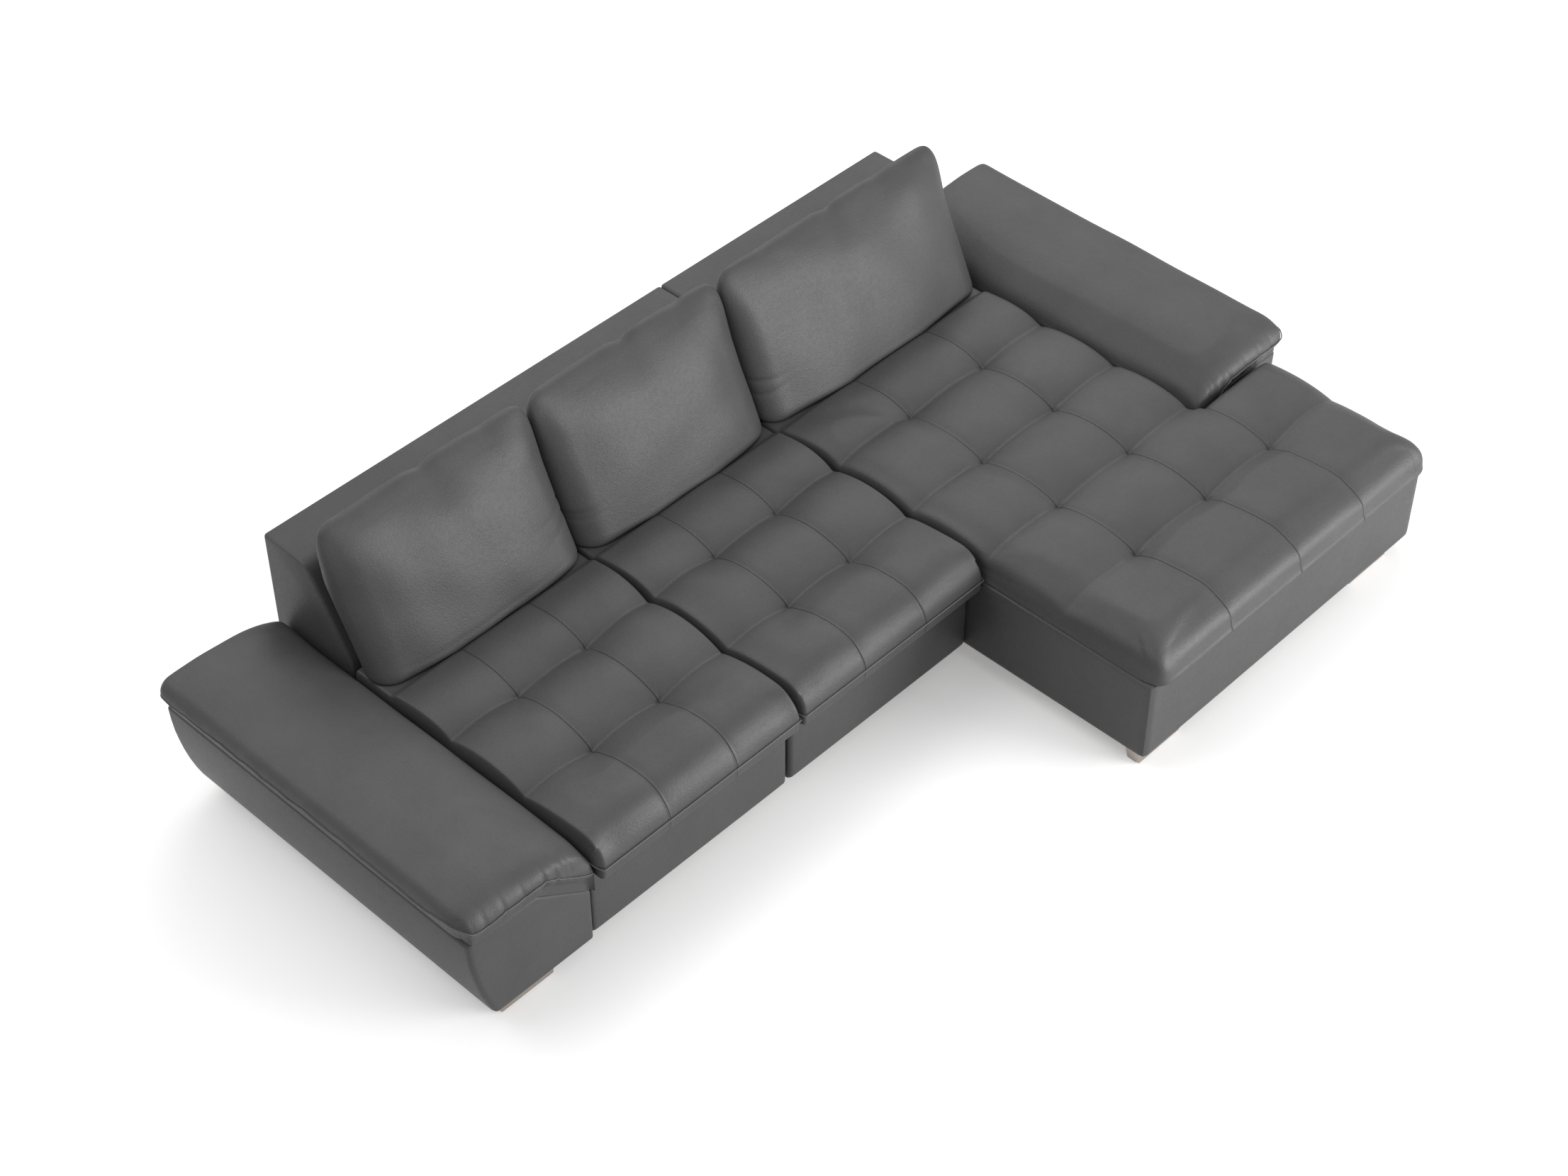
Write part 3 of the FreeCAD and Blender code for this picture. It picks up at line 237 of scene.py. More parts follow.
def soft_noise(points: np.ndarray, size: float, seed: int) -> np.ndarray:
    """A smooth irregular value between about -1 and 1 at each point.

    Args:
        points: one row per point.
        size: the length over which it changes.
        seed: which of many such fields.

    Returns:
        One value per point.
    """
    chance = np.random.default_rng(seed)
    waves = 7
    total = np.zeros(len(points))
    for _ in range(waves):
        way = chance.normal(size=3)
        way /= np.linalg.norm(way) * size * chance.uniform(0.7, 1.5)
        total += np.sin(points @ way * 2 * math.pi + chance.uniform(0, 2 * math.pi))
    return total / (waves / 2)


# Finishes.


class Nodes:
    """A thin hand on a node tree: adds nodes and wires them."""

    def __init__(self, tree: bpy.types.NodeTree) -> None:
        """Takes up an empty tree."""
        self.tree = tree
        self.count = 0

    def add(self, kind: str, settings: dict | None = None, **inputs: object) -> bpy.types.Node:
        """Adds a node, sets its properties and fills or wires its inputs.

        Args:
            kind: the node's type, without the ShaderNode prefix.
            settings: its properties.
            inputs: values or sockets by input name, spaces as underscores.

        Returns:
            The node.
        """
        node = self.tree.nodes.new(kind if kind.startswith("Node") else "ShaderNode" + kind)
        node.location = (self.count % 8 * 190, -(self.count // 8) * 260)
        self.count += 1
        for key, value in (settings or {}).items():
            setattr(node, key, value)
        for key, value in inputs.items():
            self.fill(node, key.replace("_", " "), value)
        return node

    def fill(self, node: bpy.types.Node, key: str | int, value: object) -> None:
        """Wires a socket into an input, or sets its value.

        Args:
            node: the node.
            key: the input's name or number.
            value: a socket or a plain value.
        """
        if isinstance(value, bpy.types.NodeSocket):
            self.tree.links.new(value, node.inputs[key])
        else:
            node.inputs[key].default_value = value

    def place(self) -> bpy.types.NodeSocket:
        """The place on the object."""
        return self.add("TexCoord").outputs["Object"]

    def noise(self, place: object, scale: float, detail: float, **more: float) -> bpy.types.Node:
        """A noise texture at a place."""
        return self.add("TexNoise", Vector=place, Scale=scale, Detail=detail, **more)

    def math(self, operation: str, *values: object) -> bpy.types.NodeSocket:
        """One arithmetic step.

        Args:
            operation: the Math node's operation.
            values: its inputs, sockets or numbers.

        Returns:
            The result's socket.
        """
        node = self.add("Math", {"operation": operation})
        for i, value in enumerate(values):
            self.fill(node, i, value)
        return node.outputs[0]

    def weighed(self, *terms: tuple[bpy.types.NodeSocket, float]) -> bpy.types.NodeSocket:
        """Adds up sockets, each times its weight.

        Args:
            terms: each socket with its weight.

        Returns:
            The sum's socket.
        """
        total, *others = [self.math("MULTIPLY", socket, weight) for socket, weight in terms]
        for part in others:
            total = self.math("ADD", total, part)
        return total

    def blend(self, factor: object, first: object, second: object) -> bpy.types.NodeSocket:
        """Mixes two colours.

        Args:
            factor: a socket or number from 0 to 1.
            first: the colour at 0.
            second: the colour at 1.

        Returns:
            The colour's socket.
        """
        node = self.add("Mix", {"data_type": "RGBA"})
        for key, value in ((0, factor), (6, first), (7, second)):
            self.fill(node, key, (*value, 1.0) if isinstance(value, tuple) else value)
        return node.outputs[2]

    def spread(self, value: object, start: float, end: float, low: float,
               high: float) -> bpy.types.NodeSocket:
        """Maps a value from a range to another, from start and end to low and high."""
        ends = {"From_Min": start, "From_Max": end, "To_Min": low, "To_Max": high}
        return self.add("MapRange", Value=value, **ends).outputs[0]


def shared_group(name: str, given: str, results: Sequence[str],
                 wire: Callable[[Nodes, bpy.types.NodeSocket], Sequence]) -> bpy.types.NodeTree:
    """A node group that finishes share, built when it is first asked for.

    Args:
        name: the group's name.
        given: its input's name.
        results: its outputs' names.
        wire: gives the outputs' sockets for a hand on the tree and the input's socket.

    Returns:
        The group.
    """
    if name not in bpy.data.node_groups:
        tree = bpy.data.node_groups.new(name, "ShaderNodeTree")
        tree.interface.new_socket(given, in_out="INPUT", socket_type="NodeSocketFloat")
        for key in results:
            tree.interface.new_socket(key, in_out="OUTPUT", socket_type="NodeSocketFloat")
        hand = Nodes(tree)
        sockets = wire(hand, hand.add("NodeGroupInput").outputs[0])
        out = hand.add("NodeGroupOutput")
        for key, socket in zip(results, sockets):
            hand.fill(out, key, socket)
    return bpy.data.node_groups[name]


def pebbled_grain(hand: Nodes, pebble: bpy.types.NodeSocket) -> tuple:
    """Pebbled leather grain.

    Args:
        hand: a hand on the group's tree.
        pebble: the size of a pebble.

    Returns:
        The sockets of its height, and of a tone that varies over the hide.
    """
    place = hand.place()
    warp = hand.noise(place, 110.0, 2.0)
    shift = hand.add("VectorMath", {"operation": "SCALE"}, Vector=warp.outputs["Color"], Scale=0.004)
    bent = hand.add("VectorMath", {"operation": "ADD"})
    hand.fill(bent, 0, place)
    hand.fill(bent, 1, shift.outputs[0])
    bent = bent.outputs[0]
    scale = hand.math("DIVIDE", 1.0, pebble)
    cells = hand.add("TexVoronoi", {"feature": "SMOOTH_F1"}, Vector=bent, Scale=scale, Smoothness=0.35)
    domes = hand.math("SUBTRACT", 1.0, cells.outputs["Distance"])
    height = hand.weighed((domes, 0.6), (hand.noise(bent, 420.0, 3.0).outputs["Fac"], 0.22),
                          (hand.noise(place, 75.0, 3.0).outputs["Fac"], 0.55))
    hide = hand.noise(place, 7.0, 4.0, Roughness=0.6)
    tone = hand.weighed((hide.outputs["Fac"], 0.6), (hand.noise(place, 240.0, 2.0).outputs["Fac"], 0.4))
    return height, tone


def sewn_line(hand: Nodes, distance: bpy.types.NodeSocket) -> tuple:
    """A sewn line: a narrow groove with a soft welt on both sides.

    Args:
        hand: a hand on the group's tree.
        distance: how far the line is.

    Returns:
        The sockets of its height and of the painted shade that darkens its groove.
    """
    groove_width, welt_width = 0.0013, 0.0042
    square = hand.math("MULTIPLY", distance, distance)
    groove, welt = (hand.math("EXPONENT", hand.math("MULTIPLY", square, -1 / width ** 2))
                    for width in (groove_width, welt_width))
    height = hand.math("SUBTRACT", hand.math("MULTIPLY", welt, 0.55), groove)
    # The second value is painted shade, strongest in the groove.
    return height, hand.math("MULTIPLY", groove, 0.6)


def fresh_material(name: str) -> tuple[bpy.types.Material, Nodes, bpy.types.Node]:
    """Starts a material.

    Args:
        name: its name.

    Returns:
        The material, a hand on its tree, and its shader.
    """
    material = bpy.data.materials.new(name)
    material.use_nodes = True
    material.node_tree.nodes.clear()
    hand = Nodes(material.node_tree)
    shader = hand.add("BsdfPrincipled")
    hand.add("OutputMaterial", Surface=shader.outputs[0])
    return material, hand, shader


@dataclass(frozen=True)
class Finish:
    """A finish with two tones, whose material is made once."""

    name: str
    light: Point
    dark: Point

    def material(self) -> bpy.types.Material:
        """The finish's material.

        Returns:
            The material, made when it is first asked for.
        """
        if self.name not in MADE:
            MADE[self.name], hand, shader = fresh_material(self.name)
            self.wire(hand, shader)
        return MADE[self.name]


@dataclass(frozen=True)
class Leather(Finish):
    """Dark grey leather with a pebbled grain, and with sewn lines where it is sewn, their grooves darkened by
    painted shade.
    """

    name: str = "grey_leather"
    light: Point = (0.0765, 0.0762, 0.0768)
    dark: Point = (0.0605, 0.0602, 0.0608)
    pebble: float = 0.0042
    depth: float = 0.0009
    roughness: float = 0.52
    sewn: bool = False
    seam_depth: float = 0.0022
    seam_shade_tone: float = 0.35

    def wire(self, hand: Nodes, shader: bpy.types.Node) -> None:
        """Wires the shader.

        Args:
            hand: a hand on the material's tree.
            shader: its shader.
        """
        group = shared_group("pebbled_grain", "Pebble", ("Height", "Tone"), pebbled_grain)
        grain = hand.add("Group", {"node_tree": group}, Pebble=self.pebble)
        tone = hand.spread(grain.outputs["Tone"], 0.35, 0.65, 0.0, 1.0)
        colour = hand.blend(tone, self.dark, self.light)
        hand.fill(shader, "Roughness", hand.spread(grain.outputs["Height"], 0.2, 1.0, self.roughness + 0.07,
                                                   self.roughness - 0.05))
        bump = hand.add("Bump", Height=grain.outputs["Height"], Strength=0.6, Distance=self.depth)
        if self.sewn:
            thread = hand.add("Attribute", {"attribute_name": "seam_distance"})
            group = shared_group("sewn_line", "Distance", ("Height", "Shade"), sewn_line)
            line = hand.add("Group", {"node_tree": group}, Distance=thread.outputs["Fac"])
            bump = hand.add("Bump", Height=line.outputs["Height"], Strength=1.0, Distance=self.seam_depth,
                            Normal=bump.outputs[0])
            # Painted shade: the sewn line's groove is darkened towards this deeper tone.
            deep = tuple(self.seam_shade_tone * part for part in self.dark)
            colour = hand.blend(line.outputs["Shade"], colour, deep)
        hand.fill(shader, "Base Color", colour)
        hand.fill(shader, "Normal", bump.outputs[0])


@dataclass(frozen=True)
class Timber(Finish):
    """Wood, with plies on its edges where it is plywood."""

    along: Point
    plies: float = 0.0
    roughness: float = 0.6

    def wire(self, hand: Nodes, shader: bpy.types.Node) -> None:
        """Wires the shader.

        Args:
            hand: a hand on the material's tree.
            shader: its shader.
        """
        place = hand.place()
        lie = hand.add("Mapping", Vector=place, Scale=self.along).outputs[0]
        grain = hand.noise(lie, 26.0, 5.0, Roughness=0.62, Distortion=0.6)
        mark = hand.weighed((grain.outputs["Fac"], 0.75), (hand.noise(lie, 210.0, 2.0).outputs["Fac"], 0.25))
        if self.plies:
            bands = hand.add("TexWave", {"bands_direction": "DIAGONAL"}, Vector=place, Scale=self.plies,
                             Distortion=0.4)
            mark = hand.weighed((mark, 0.86), (bands.outputs["Fac"], 0.14))
        tone = hand.spread(mark, 0.3, 0.7, 0.0, 1.0)
        rough = hand.spread(mark, 0.0, 1.0, self.roughness + 0.1, self.roughness - 0.05)
        hand.fill(shader, "Base Color", hand.blend(tone, self.dark, self.light))
        hand.fill(shader, "Roughness", rough)
        bump = hand.add("Bump", Height=mark, Strength=0.35, Distance=0.0005)
        hand.fill(shader, "Normal", bump.outputs[0])


@dataclass(frozen=True)
class Metal(Finish):
    """Brushed or plated metal with fine brush lines."""

    roughness: float
    stretch: Point

    def wire(self, hand: Nodes, shader: bpy.types.Node) -> None:
        """Wires the shader.

        Args:
            hand: a hand on the material's tree.
            shader: its shader.
        """
        place = hand.place()
        lie = hand.add("Mapping", Vector=place, Scale=self.stretch).outputs[0]
        lines = hand.noise(lie, 900.0, 3.0).outputs["Fac"]
        cloud = hand.noise(place, 18.0, 3.0).outputs["Fac"]
        hand.fill(shader, "Base Color", hand.blend(cloud, self.dark, self.light))
        rough = hand.spread(lines, 0.0, 1.0, self.roughness - 0.08, self.roughness + 0.1)
        hand.fill(shader, "Roughness", rough)
        bump = hand.add("Bump", Height=lines, Strength=0.2, Distance=0.0002)
        hand.fill(shader, "Normal", bump.outputs[0])
        hand.fill(shader, "Metallic", 1.0)


@dataclass(frozen=True)
class Weave(Finish):
    """A woven or felted cloth: crossed threads with some fuzz."""

    pitch: float
    roughness: float = 0.85

    def wire(self, hand: Nodes, shader: bpy.types.Node) -> None:
        """Wires the shader.

        Args:
            hand: a hand on the material's tree.
            shader: its shader.
        """
        place = hand.place()
        threads = []
        for direction in ("X", "Y"):
            wave = hand.add("TexWave", {"bands_direction": direction, "wave_profile": "SIN"}, Vector=place,
                            Scale=0.314 / self.pitch, Distortion=0.3)
            threads.append(wave.outputs["Fac"])
        fuzz = hand.noise(place, 700.0, 3.0).outputs["Fac"]
        mark = hand.weighed((hand.math("MULTIPLY", *threads), 0.6), (fuzz, 0.4))
        hand.fill(shader, "Base Color", hand.blend(mark, self.dark, self.light))
        bump = hand.add("Bump", Height=mark, Strength=0.5, Distance=self.pitch / 3)
        hand.fill(shader, "Normal", bump.outputs[0])
        hand.fill(shader, "Roughness", self.roughness)
        hand.fill(shader, "Sheen Weight", 0.2)


MADE: dict[str, bpy.types.Material] = {}
LEATHER = Leather()
SEWN_LEATHER = Leather(name="sewn_leather", sewn=True)
# Piping leather, lighter than the other leather: its tone is a painted highlight along the bead.
PIPING_PAINTED_HIGHLIGHT = Leather("piping_leather_painted_highlight", (0.126, 0.126, 0.127), (0.106, 0.106, 0.107), roughness=0.5)
NICKEL = Metal("foot_nickel", (0.40, 0.36, 0.325), (0.34, 0.305, 0.275), 0.36, (0.2, 1.0, 1.0))
ZINC = Metal("zinc_steel", (0.66, 0.67, 0.68), (0.5, 0.51, 0.53), 0.4, (0.1, 1.0, 1.0))
PLYWOOD = Timber("plywood", (0.60, 0.43, 0.26), (0.42, 0.28, 0.15), (0.25, 1.0, 1.0), 90.0)
BEECH = Timber("beech", (0.58, 0.37, 0.22), (0.45, 0.26, 0.14), (1.0, 0.15, 1.0))
WEBBING = Weave("webbing", (0.045, 0.045, 0.05), (0.012, 0.012, 0.014), 0.0022)
FELT = Weave("felt", (0.25, 0.24, 0.22), (0.16, 0.15, 0.14), 0.0012)
PLASTIC = Weave("black_plastic", (0.035, 0.035, 0.035), (0.02, 0.02, 0.02), 0.0009, 0.5)
SLOTS = {finish.name: finish for finish in (LEATHER, NICKEL, ZINC, PLYWOOD, BEECH, WEBBING, FELT, PLASTIC)}


# Padding: a soft piece starts as boxes, gets an even skin and is then shaped.


@dataclass(frozen=True)
class Inflation:
    """How a padded piece is blown up against its stitching: its largest movement and the cloth's values."""

    cap: float
    pressure: float = 4.0
    frames: int = 20
    stiffness: float = 12.0
    bending: float = 0.6
    mass: float = 0.3
    evening: int = 40
    gain: float = 0.8


class Padding:
    """A padded piece in the making."""

    swellings: dict[str, tuple[np.ndarray, np.ndarray]] = {}
    snap: float = 0.45

    def __init__(self, node: str, boxes: Sequence[Box], voxel: float) -> None:
        """Adds the boxes and covers them with an even skin of squares."""
        name = node + "_leather"
        parts = [add_box(name, low, high) for low, high in boxes]
        take_up(parts[0])
        if len(parts) > 1:
            for part in parts:
                part.select_set(True)
            bpy.ops.object.join()
        self.piece = bpy.context.object
        self.piece.name = name
        use_modifier(self.piece, "REMESH", mode="VOXEL", voxel_size=voxel)
        self.square_up(boxes, self.snap * voxel)

    def square_up(self, boxes: Sequence[Box], reach: float) -> None:
        """Puts the skin's points near a box's side exactly on it, so that its edges are sharp.

        Args:
            boxes: the boxes' corners.
            reach: how near such a point is.
        """
        points = points_of(self.piece)
        for box in boxes:
            for corner in box:
                for axis in range(3):
                    points[np.abs(points[:, axis] - corner[axis]) < reach, axis] = corner[axis]
        set_points(self.piece, points)

    def shape(self, rule: Rule) -> None:
        """Moves every point of the skin by a rule that gives the new points for the old ones."""
        set_points(self.piece, rule(points_of(self.piece)))

    def inflate(self, kind: str, how: Inflation, held: np.ndarray, low: Sequence[float],
                high: Sequence[float]) -> None:
        """Blows the skin up with cloth simulation, held by its stitching, and divides its squares.

        Args:
            kind: pieces of one kind share one simulation.
            how: pressure and limits.
            held: which points don't move.
            low: the lowest corner that it may fill.
            high: the highest one.
        """
        start = points_of(self.piece)
        lowest, widest = start.min(axis=0), start.max(axis=0)
        if kind in self.swellings:
            mirrored = np.stack([widest[0] - start[:, 0], *(start - lowest).T[1:]], axis=1)
            moved = self.borrow(kind, mirrored)
        else:
            moved = self.simulate(how, held)
            self.swellings[kind] = (start - lowest, moved)
        set_points(self.piece, np.clip(start + moved, low, high))
        self.refine()

    def borrow(self, kind: str, places: np.ndarray) -> np.ndarray:
        """Takes the movement of a piece of the same kind, mirrored from left to right.

        Args:
            kind: the kind of piece.
            places: where each point lies on the mirrored piece.

        Returns:
            How far each point moves.
        """
        known, moved = self.swellings[kind]
        tree = KDTree(len(known))
        for i, place in enumerate(known):
            tree.insert(place, i)
        tree.balance()
        nearest = np.array([tree.find(place)[1] for place in places])
        return self.evened(moved[nearest] * np.array([-1.0, 1.0, 1.0]), 4)

    def simulate(self, how: Inflation, held: np.ndarray) -> np.ndarray:
        """Runs the cloth simulation and takes it off again.

        Args:
            how: pressure and limits.
            held: which points don't move.

        Returns:
            How far each point moves.
        """
        piece = self.piece
        take_up(piece)
        group = piece.vertex_groups.new(name="held")
        group.add(np.nonzero(held)[0].tolist(), 1.0, "REPLACE")
        start = points_of(piece)
        cloth = piece.modifiers.new("Cloth", "CLOTH")
        values = {"quality": 4, "mass": how.mass, "tension_stiffness": how.stiffness,
                  "compression_stiffness": how.stiffness, "shear_stiffness": how.stiffness / 3,
                  "bending_stiffness": how.bending, "use_pressure": True,
                  "uniform_pressure_force": how.pressure, "vertex_group_mass": group.name}
        for key, value in values.items():
            setattr(cloth.settings, key, value)
        cloth.settings.effector_weights.gravity = 0.0
        cloth.collision_settings.use_collision = False
        cloth.point_cache.frame_start = 1
        cloth.point_cache.frame_end = how.frames
        scene = bpy.context.scene
        for step in range(1, how.frames + 1):
            scene.frame_set(step)
        bpy.ops.object.modifier_apply(modifier=cloth.name)
        scene.frame_set(1)
        moved = self.evened(points_of(piece) - start, how.evening) * how.gain * (1 - held[:, None])
        length = np.linalg.norm(moved, axis=1, keepdims=True)
        piece.vertex_groups.clear()
        set_points(piece, start)
        return moved * np.minimum(1.0, how.cap / np.maximum(length, TINY))

    def evened(self, moved: np.ndarray, rounds: int) -> np.ndarray:
        """Spreads a movement over neighbouring points, as leather over foam does.

        Args:
            moved: the movement of each point.
            rounds: how often each point takes its neighbours' mean.

        Returns:
            The evened movement.
        """
        mesh = self.piece.data
        ends = np.empty(len(mesh.edges) * 2, dtype=np.int64)
        mesh.edges.foreach_get("vertices", ends)
        first, second = ends.reshape(-1, 2).T
        count = np.bincount(ends, minlength=len(moved)).astype(float)[:, None]
        for _ in range(rounds):
            total = np.zeros_like(moved)
            for axis in range(3):
                total[:, axis] = (np.bincount(first, moved[second, axis], len(moved))
                                  + np.bincount(second, moved[first, axis], len(moved)))
            moved = 0.5 * moved + 0.5 * total / np.maximum(count, 1)
        return moved

    def mark_seams(self, rule: Rule) -> None:
        """Notes how far the nearest sewn line is, for the finish, by a rule that is 0 on each line."""
        mark = self.piece.data.attributes.new("seam_distance", "FLOAT", "POINT")
        mark.data.foreach_set("value", rule(points_of(self.piece)))

    def refine(self) -> None:
        """Divides every square once, smoothly."""
        use_modifier(self.piece, "SUBSURF", levels=1, render_levels=1)

    def done(self, body: str, node: str, finish: Leather | None = None) -> None:
        """Gives the piece its finish and its place in the object.

        Args:
            body: the body that it moves with.
            node: the solid that it stands for.
            finish: its leather, the plain one if it isn't named.
        """
        smooth(self.piece)
        settle(self.piece, body, finish or LEATHER, [node])


# Forms: swellings between seams and rounded sides, as rules for points.


@dataclass(frozen=True)
class Side:
    """One side of a box: its place, its inward direction and its rounding."""

    at: np.ndarray | float
    inward: int
    reach: np.ndarray | float


def plump(share: np.ndarray, flat: float = 2.0, steep: float = 0.7) -> np.ndarray:
    """A swelling from 0 at both seams to 1 between them; flat widens its middle, steep its ends."""
    return np.clip(1 - np.abs(2 * np.clip(share, 0, 1) - 1) ** flat, 0, 1) ** steep


def near(distance: np.ndarray, reach: np.ndarray | float) -> np.ndarray:
    """1 at a side and 0 from a reach inside it."""
    return np.clip(1 - distance / reach, 0, 1)


def hump(distance: np.ndarray, width: float) -> np.ndarray:
    """A bell that is 1 at a place and fades over a width on both sides."""
    return np.exp(-(distance / width) ** 2)


def both_sides(low: float, high: float, reach: float, high_reach: float | None = None) -> list[Side]:
    """Two opposite sides with their roundings, which are alike unless the second is given."""
    return [Side(low, 1, reach), Side(high, -1, high_reach or reach)]


def shares_of(value: np.ndarray, sides: Sequence[Side]) -> list[np.ndarray]:
    """For each side, 1 on it and 0 from its rounding's reach inwards."""
    return [near(side.inward * (value - side.at), side.reach) for side in sides]


def draw_in(value: np.ndarray, sides: Sequence[Side], shares: Sequence[np.ndarray], pull: np.ndarray,
            tuck: np.ndarray | float = 0.0) -> np.ndarray:
    """Moves points inwards from their sides.

    Args:
        value: the points' places along one axis.
        sides: the sides on that axis.
        shares: for each side, how near the points are to it.
        pull: the part of the rounding's reach that they move.
        tuck: a further way that they move on the side itself.

    Returns:
        The new places.
    """
    for side, share in zip(sides, shares):
        value = value + side.inward * (side.reach * share * pull + tuck * share ** 2)
    return value


def roundness(first: np.ndarray, second: np.ndarray, third: np.ndarray, corner: float,
              power: float) -> np.ndarray:
    """How much of its way out a point of a box keeps when edges and corners are rounded.

    Args:
        first: how near it is to one axis's sides, from 0 to 1.
        second: the same for another axis.
        third: the same for the last.
        corner: the rounding between the first two: 2 is a circle, more is squarer.
        power: the rounding towards the last.

    Returns:
        The share that it keeps.
    """
    plan = (first ** corner + second ** corner) ** (1 / corner)
    norm = (plan ** power + third ** power) ** (1 / power)
    most = np.maximum(np.maximum(first, second), third)
    return np.where(norm > TINY, most / np.maximum(norm, TINY), 1.0)


@dataclass
class TuftField:
    """The top of a tufted cushion: patches between sewn lines, creases and tufts."""

    columns: list[float]
    rows: list[float]
    crown: float
    tuft: float
    low: Vector
    high: Vector
    crease_rise: float = 0.017
    edge_start: float = 0.28
    seam_drop: float = 0.008
    seam_reach: float = 0.015
    meeting: float = 0.386
    meeting_drop: float = 0.006
    meeting_reach: float = 0.03
    rear_seam: float = 0.4165
    rear_drop: float = 0.002
    shelf: float = 0.3716
    shelf_front: float = 0.4245
    stitch: float = 0.012
    fold_height: float = 0.0016
    tuft_depth: float = 0.0045
    tuft_width: float = 0.008

    def __post_init__(self) -> None:
        """Lists the tufts and the patches' edges."""
        self.tufts = [(column, row) for column in self.columns for row in self.rows]
        self.edges = np.array([self.low.x, *self.columns, self.high.x])

    def across(self, x: np.ndarray) -> np.ndarray:
        """Place within a patch from left to right.

        Args:
            x: across the cushion.

        Returns:
            The share from 0 to 1. The outer patches end short of 0 and 1.
        """
        patch = np.searchsorted(self.columns, x)
        share = (x - self.edges[patch]) / (self.edges[patch + 1] - self.edges[patch])
        share = np.where(patch == 0, self.edge_start + (1 - self.edge_start) * share, share)
        return np.where(patch == len(self.columns), (1 - self.edge_start) * share, share)

    def seams(self, p: np.ndarray) -> np.ndarray:
        """A value that is the distance near each sewn line from front to rear, and 0 only there.

        Args:
            p: the cushion's points.

        Returns:
            One value for each point.
        """
        pitch, stop = np.mean(np.diff(self.edges)), 0.8
        first, last = self.columns[0] - pitch, self.columns[-1] + pitch
        places = [first, *self.columns, last]
        phase = np.interp(p[:, 0], places, np.arange(len(places)))
        rest = (1 - stop) * pitch
        outside = (p[:, 0] < first + rest) | (p[:, 0] > last - rest)
        return np.where(outside, np.sin((1 - stop) * math.pi), np.sin(phase * math.pi)) * pitch / math.pi

    def at_tufts(self, p: np.ndarray) -> np.ndarray:
        """Which points a tuft's stitch holds down."""
        return np.max([np.hypot(p[:, 0] - x, p[:, 1] - y) < self.stitch for x, y in self.tufts], axis=0)

    def height(self, x: np.ndarray, y: np.ndarray) -> np.ndarray:
        """Height of the top.

        Args:
            x: across the cushion.
            y: front to rear.

        Returns:
            The height at each point.
        """
        to_seam = np.min([np.abs(x - column) for column in self.columns], axis=0)
        top = self.crown - self.seam_drop * np.exp(-to_seam / self.seam_reach)
        crease = self.tuft + self.crease_rise * plump(self.across(x), 2.0, 0.6)
        meet = self.meeting - self.meeting_drop * np.exp(-to_seam / self.meeting_reach)
        first, last = self.rows[0], self.rows[-1]
        v = (y - self.low.y) / (first - self.low.y)
        up_to = [first]
        found = [crease + (top - crease) * plump(0.5 + 0.5 * np.clip(v, 0, 1), 2.4, 0.72)]
        for a, b in zip(self.rows, self.rows[1:]):
            up_to.append(b)
            found.append(crease + (top - crease) * plump((y - a) / (b - a)))
        v = (y - last) / (self.rear_seam - last)
        ends = crease + (meet - crease) * np.clip(v, 0, 1) ** 2
        fall = np.clip((y - self.rear_seam) / (self.shelf_front - self.rear_seam), 0, 1)
        up_to += [self.rear_seam, self.shelf_front]
        found += [ends + (top - self.rear_drop - ends) * plump(v), meet + (self.shelf - meet) * fall]
        return np.select([y <= end for end in up_to], found, self.shelf)

    def pinches(self, x: np.ndarray, y: np.ndarray) -> np.ndarray:
        """Small folds that run into each tuft.

        Args:
            x: across the cushion.
            y: front to rear.

        Returns:
            A height to add at each point.
        """
        total = np.zeros_like(x)
        chance = np.random.default_rng(11)
        for column, row in self.tufts:
            reach, turn = np.hypot(x - column, y - row), np.arctan2(y - row, x - column)
            folds = np.zeros_like(x)
            for count in (5, 8, 11):
                folds += np.sin(turn * count + chance.uniform(0, 6.28)) / count * 5
            fade = np.exp(-reach / chance.uniform(0.018, 0.027)) * np.clip(reach / 0.009, 0, 1)
            total += folds * fade * self.fold_height - self.tuft_depth * hump(reach, self.tuft_width)
        return total


@dataclass
class RolledForm:
    """A cushion whose sides roll over from its top down to a seam, or further under."""

    low: float
    seam: float
    top: float
    across: list[Side]
    along: list[Side]
    corner: float
    power: float = 2.3
    under: float = 0.0
    step: float = 0.0
    step_height: float = 0.2

    def apply(self, p: np.ndarray, height: Callable[[np.ndarray, np.ndarray], np.ndarray]) -> np.ndarray:
        """Draws a box in to the form.

        Args:
            p: points of the box.
            height: the height of the top over each place in plan.

        Returns:
            The moved points.
        """
        x, y, z = p.T
        in_x, in_y = shares_of(x, self.across), shares_of(y, self.along)
        up = np.clip((z - self.seam) / (self.top - self.seam), 0, 1)
        scale = roundness(np.max(in_x, axis=0), np.max(in_y, axis=0), up, self.corner, self.power)
        down = np.clip((self.seam - z) / (self.seam - self.low), 0, 1)
        tuck = self.under * (1 - np.sqrt(1 - down ** 2 * 0.999))
        tuck = tuck + self.step * np.clip(down / self.step_height, 0, 1)
        x = draw_in(x, self.across, in_x, 1 - scale, tuck)
        y = draw_in(y, self.along, in_y, 1 - scale, tuck)
        z = np.where(up > 0, self.seam + up * scale * (height(x, y) - self.seam), z)
        return np.stack([x, y, z], axis=1)


# The cushions.


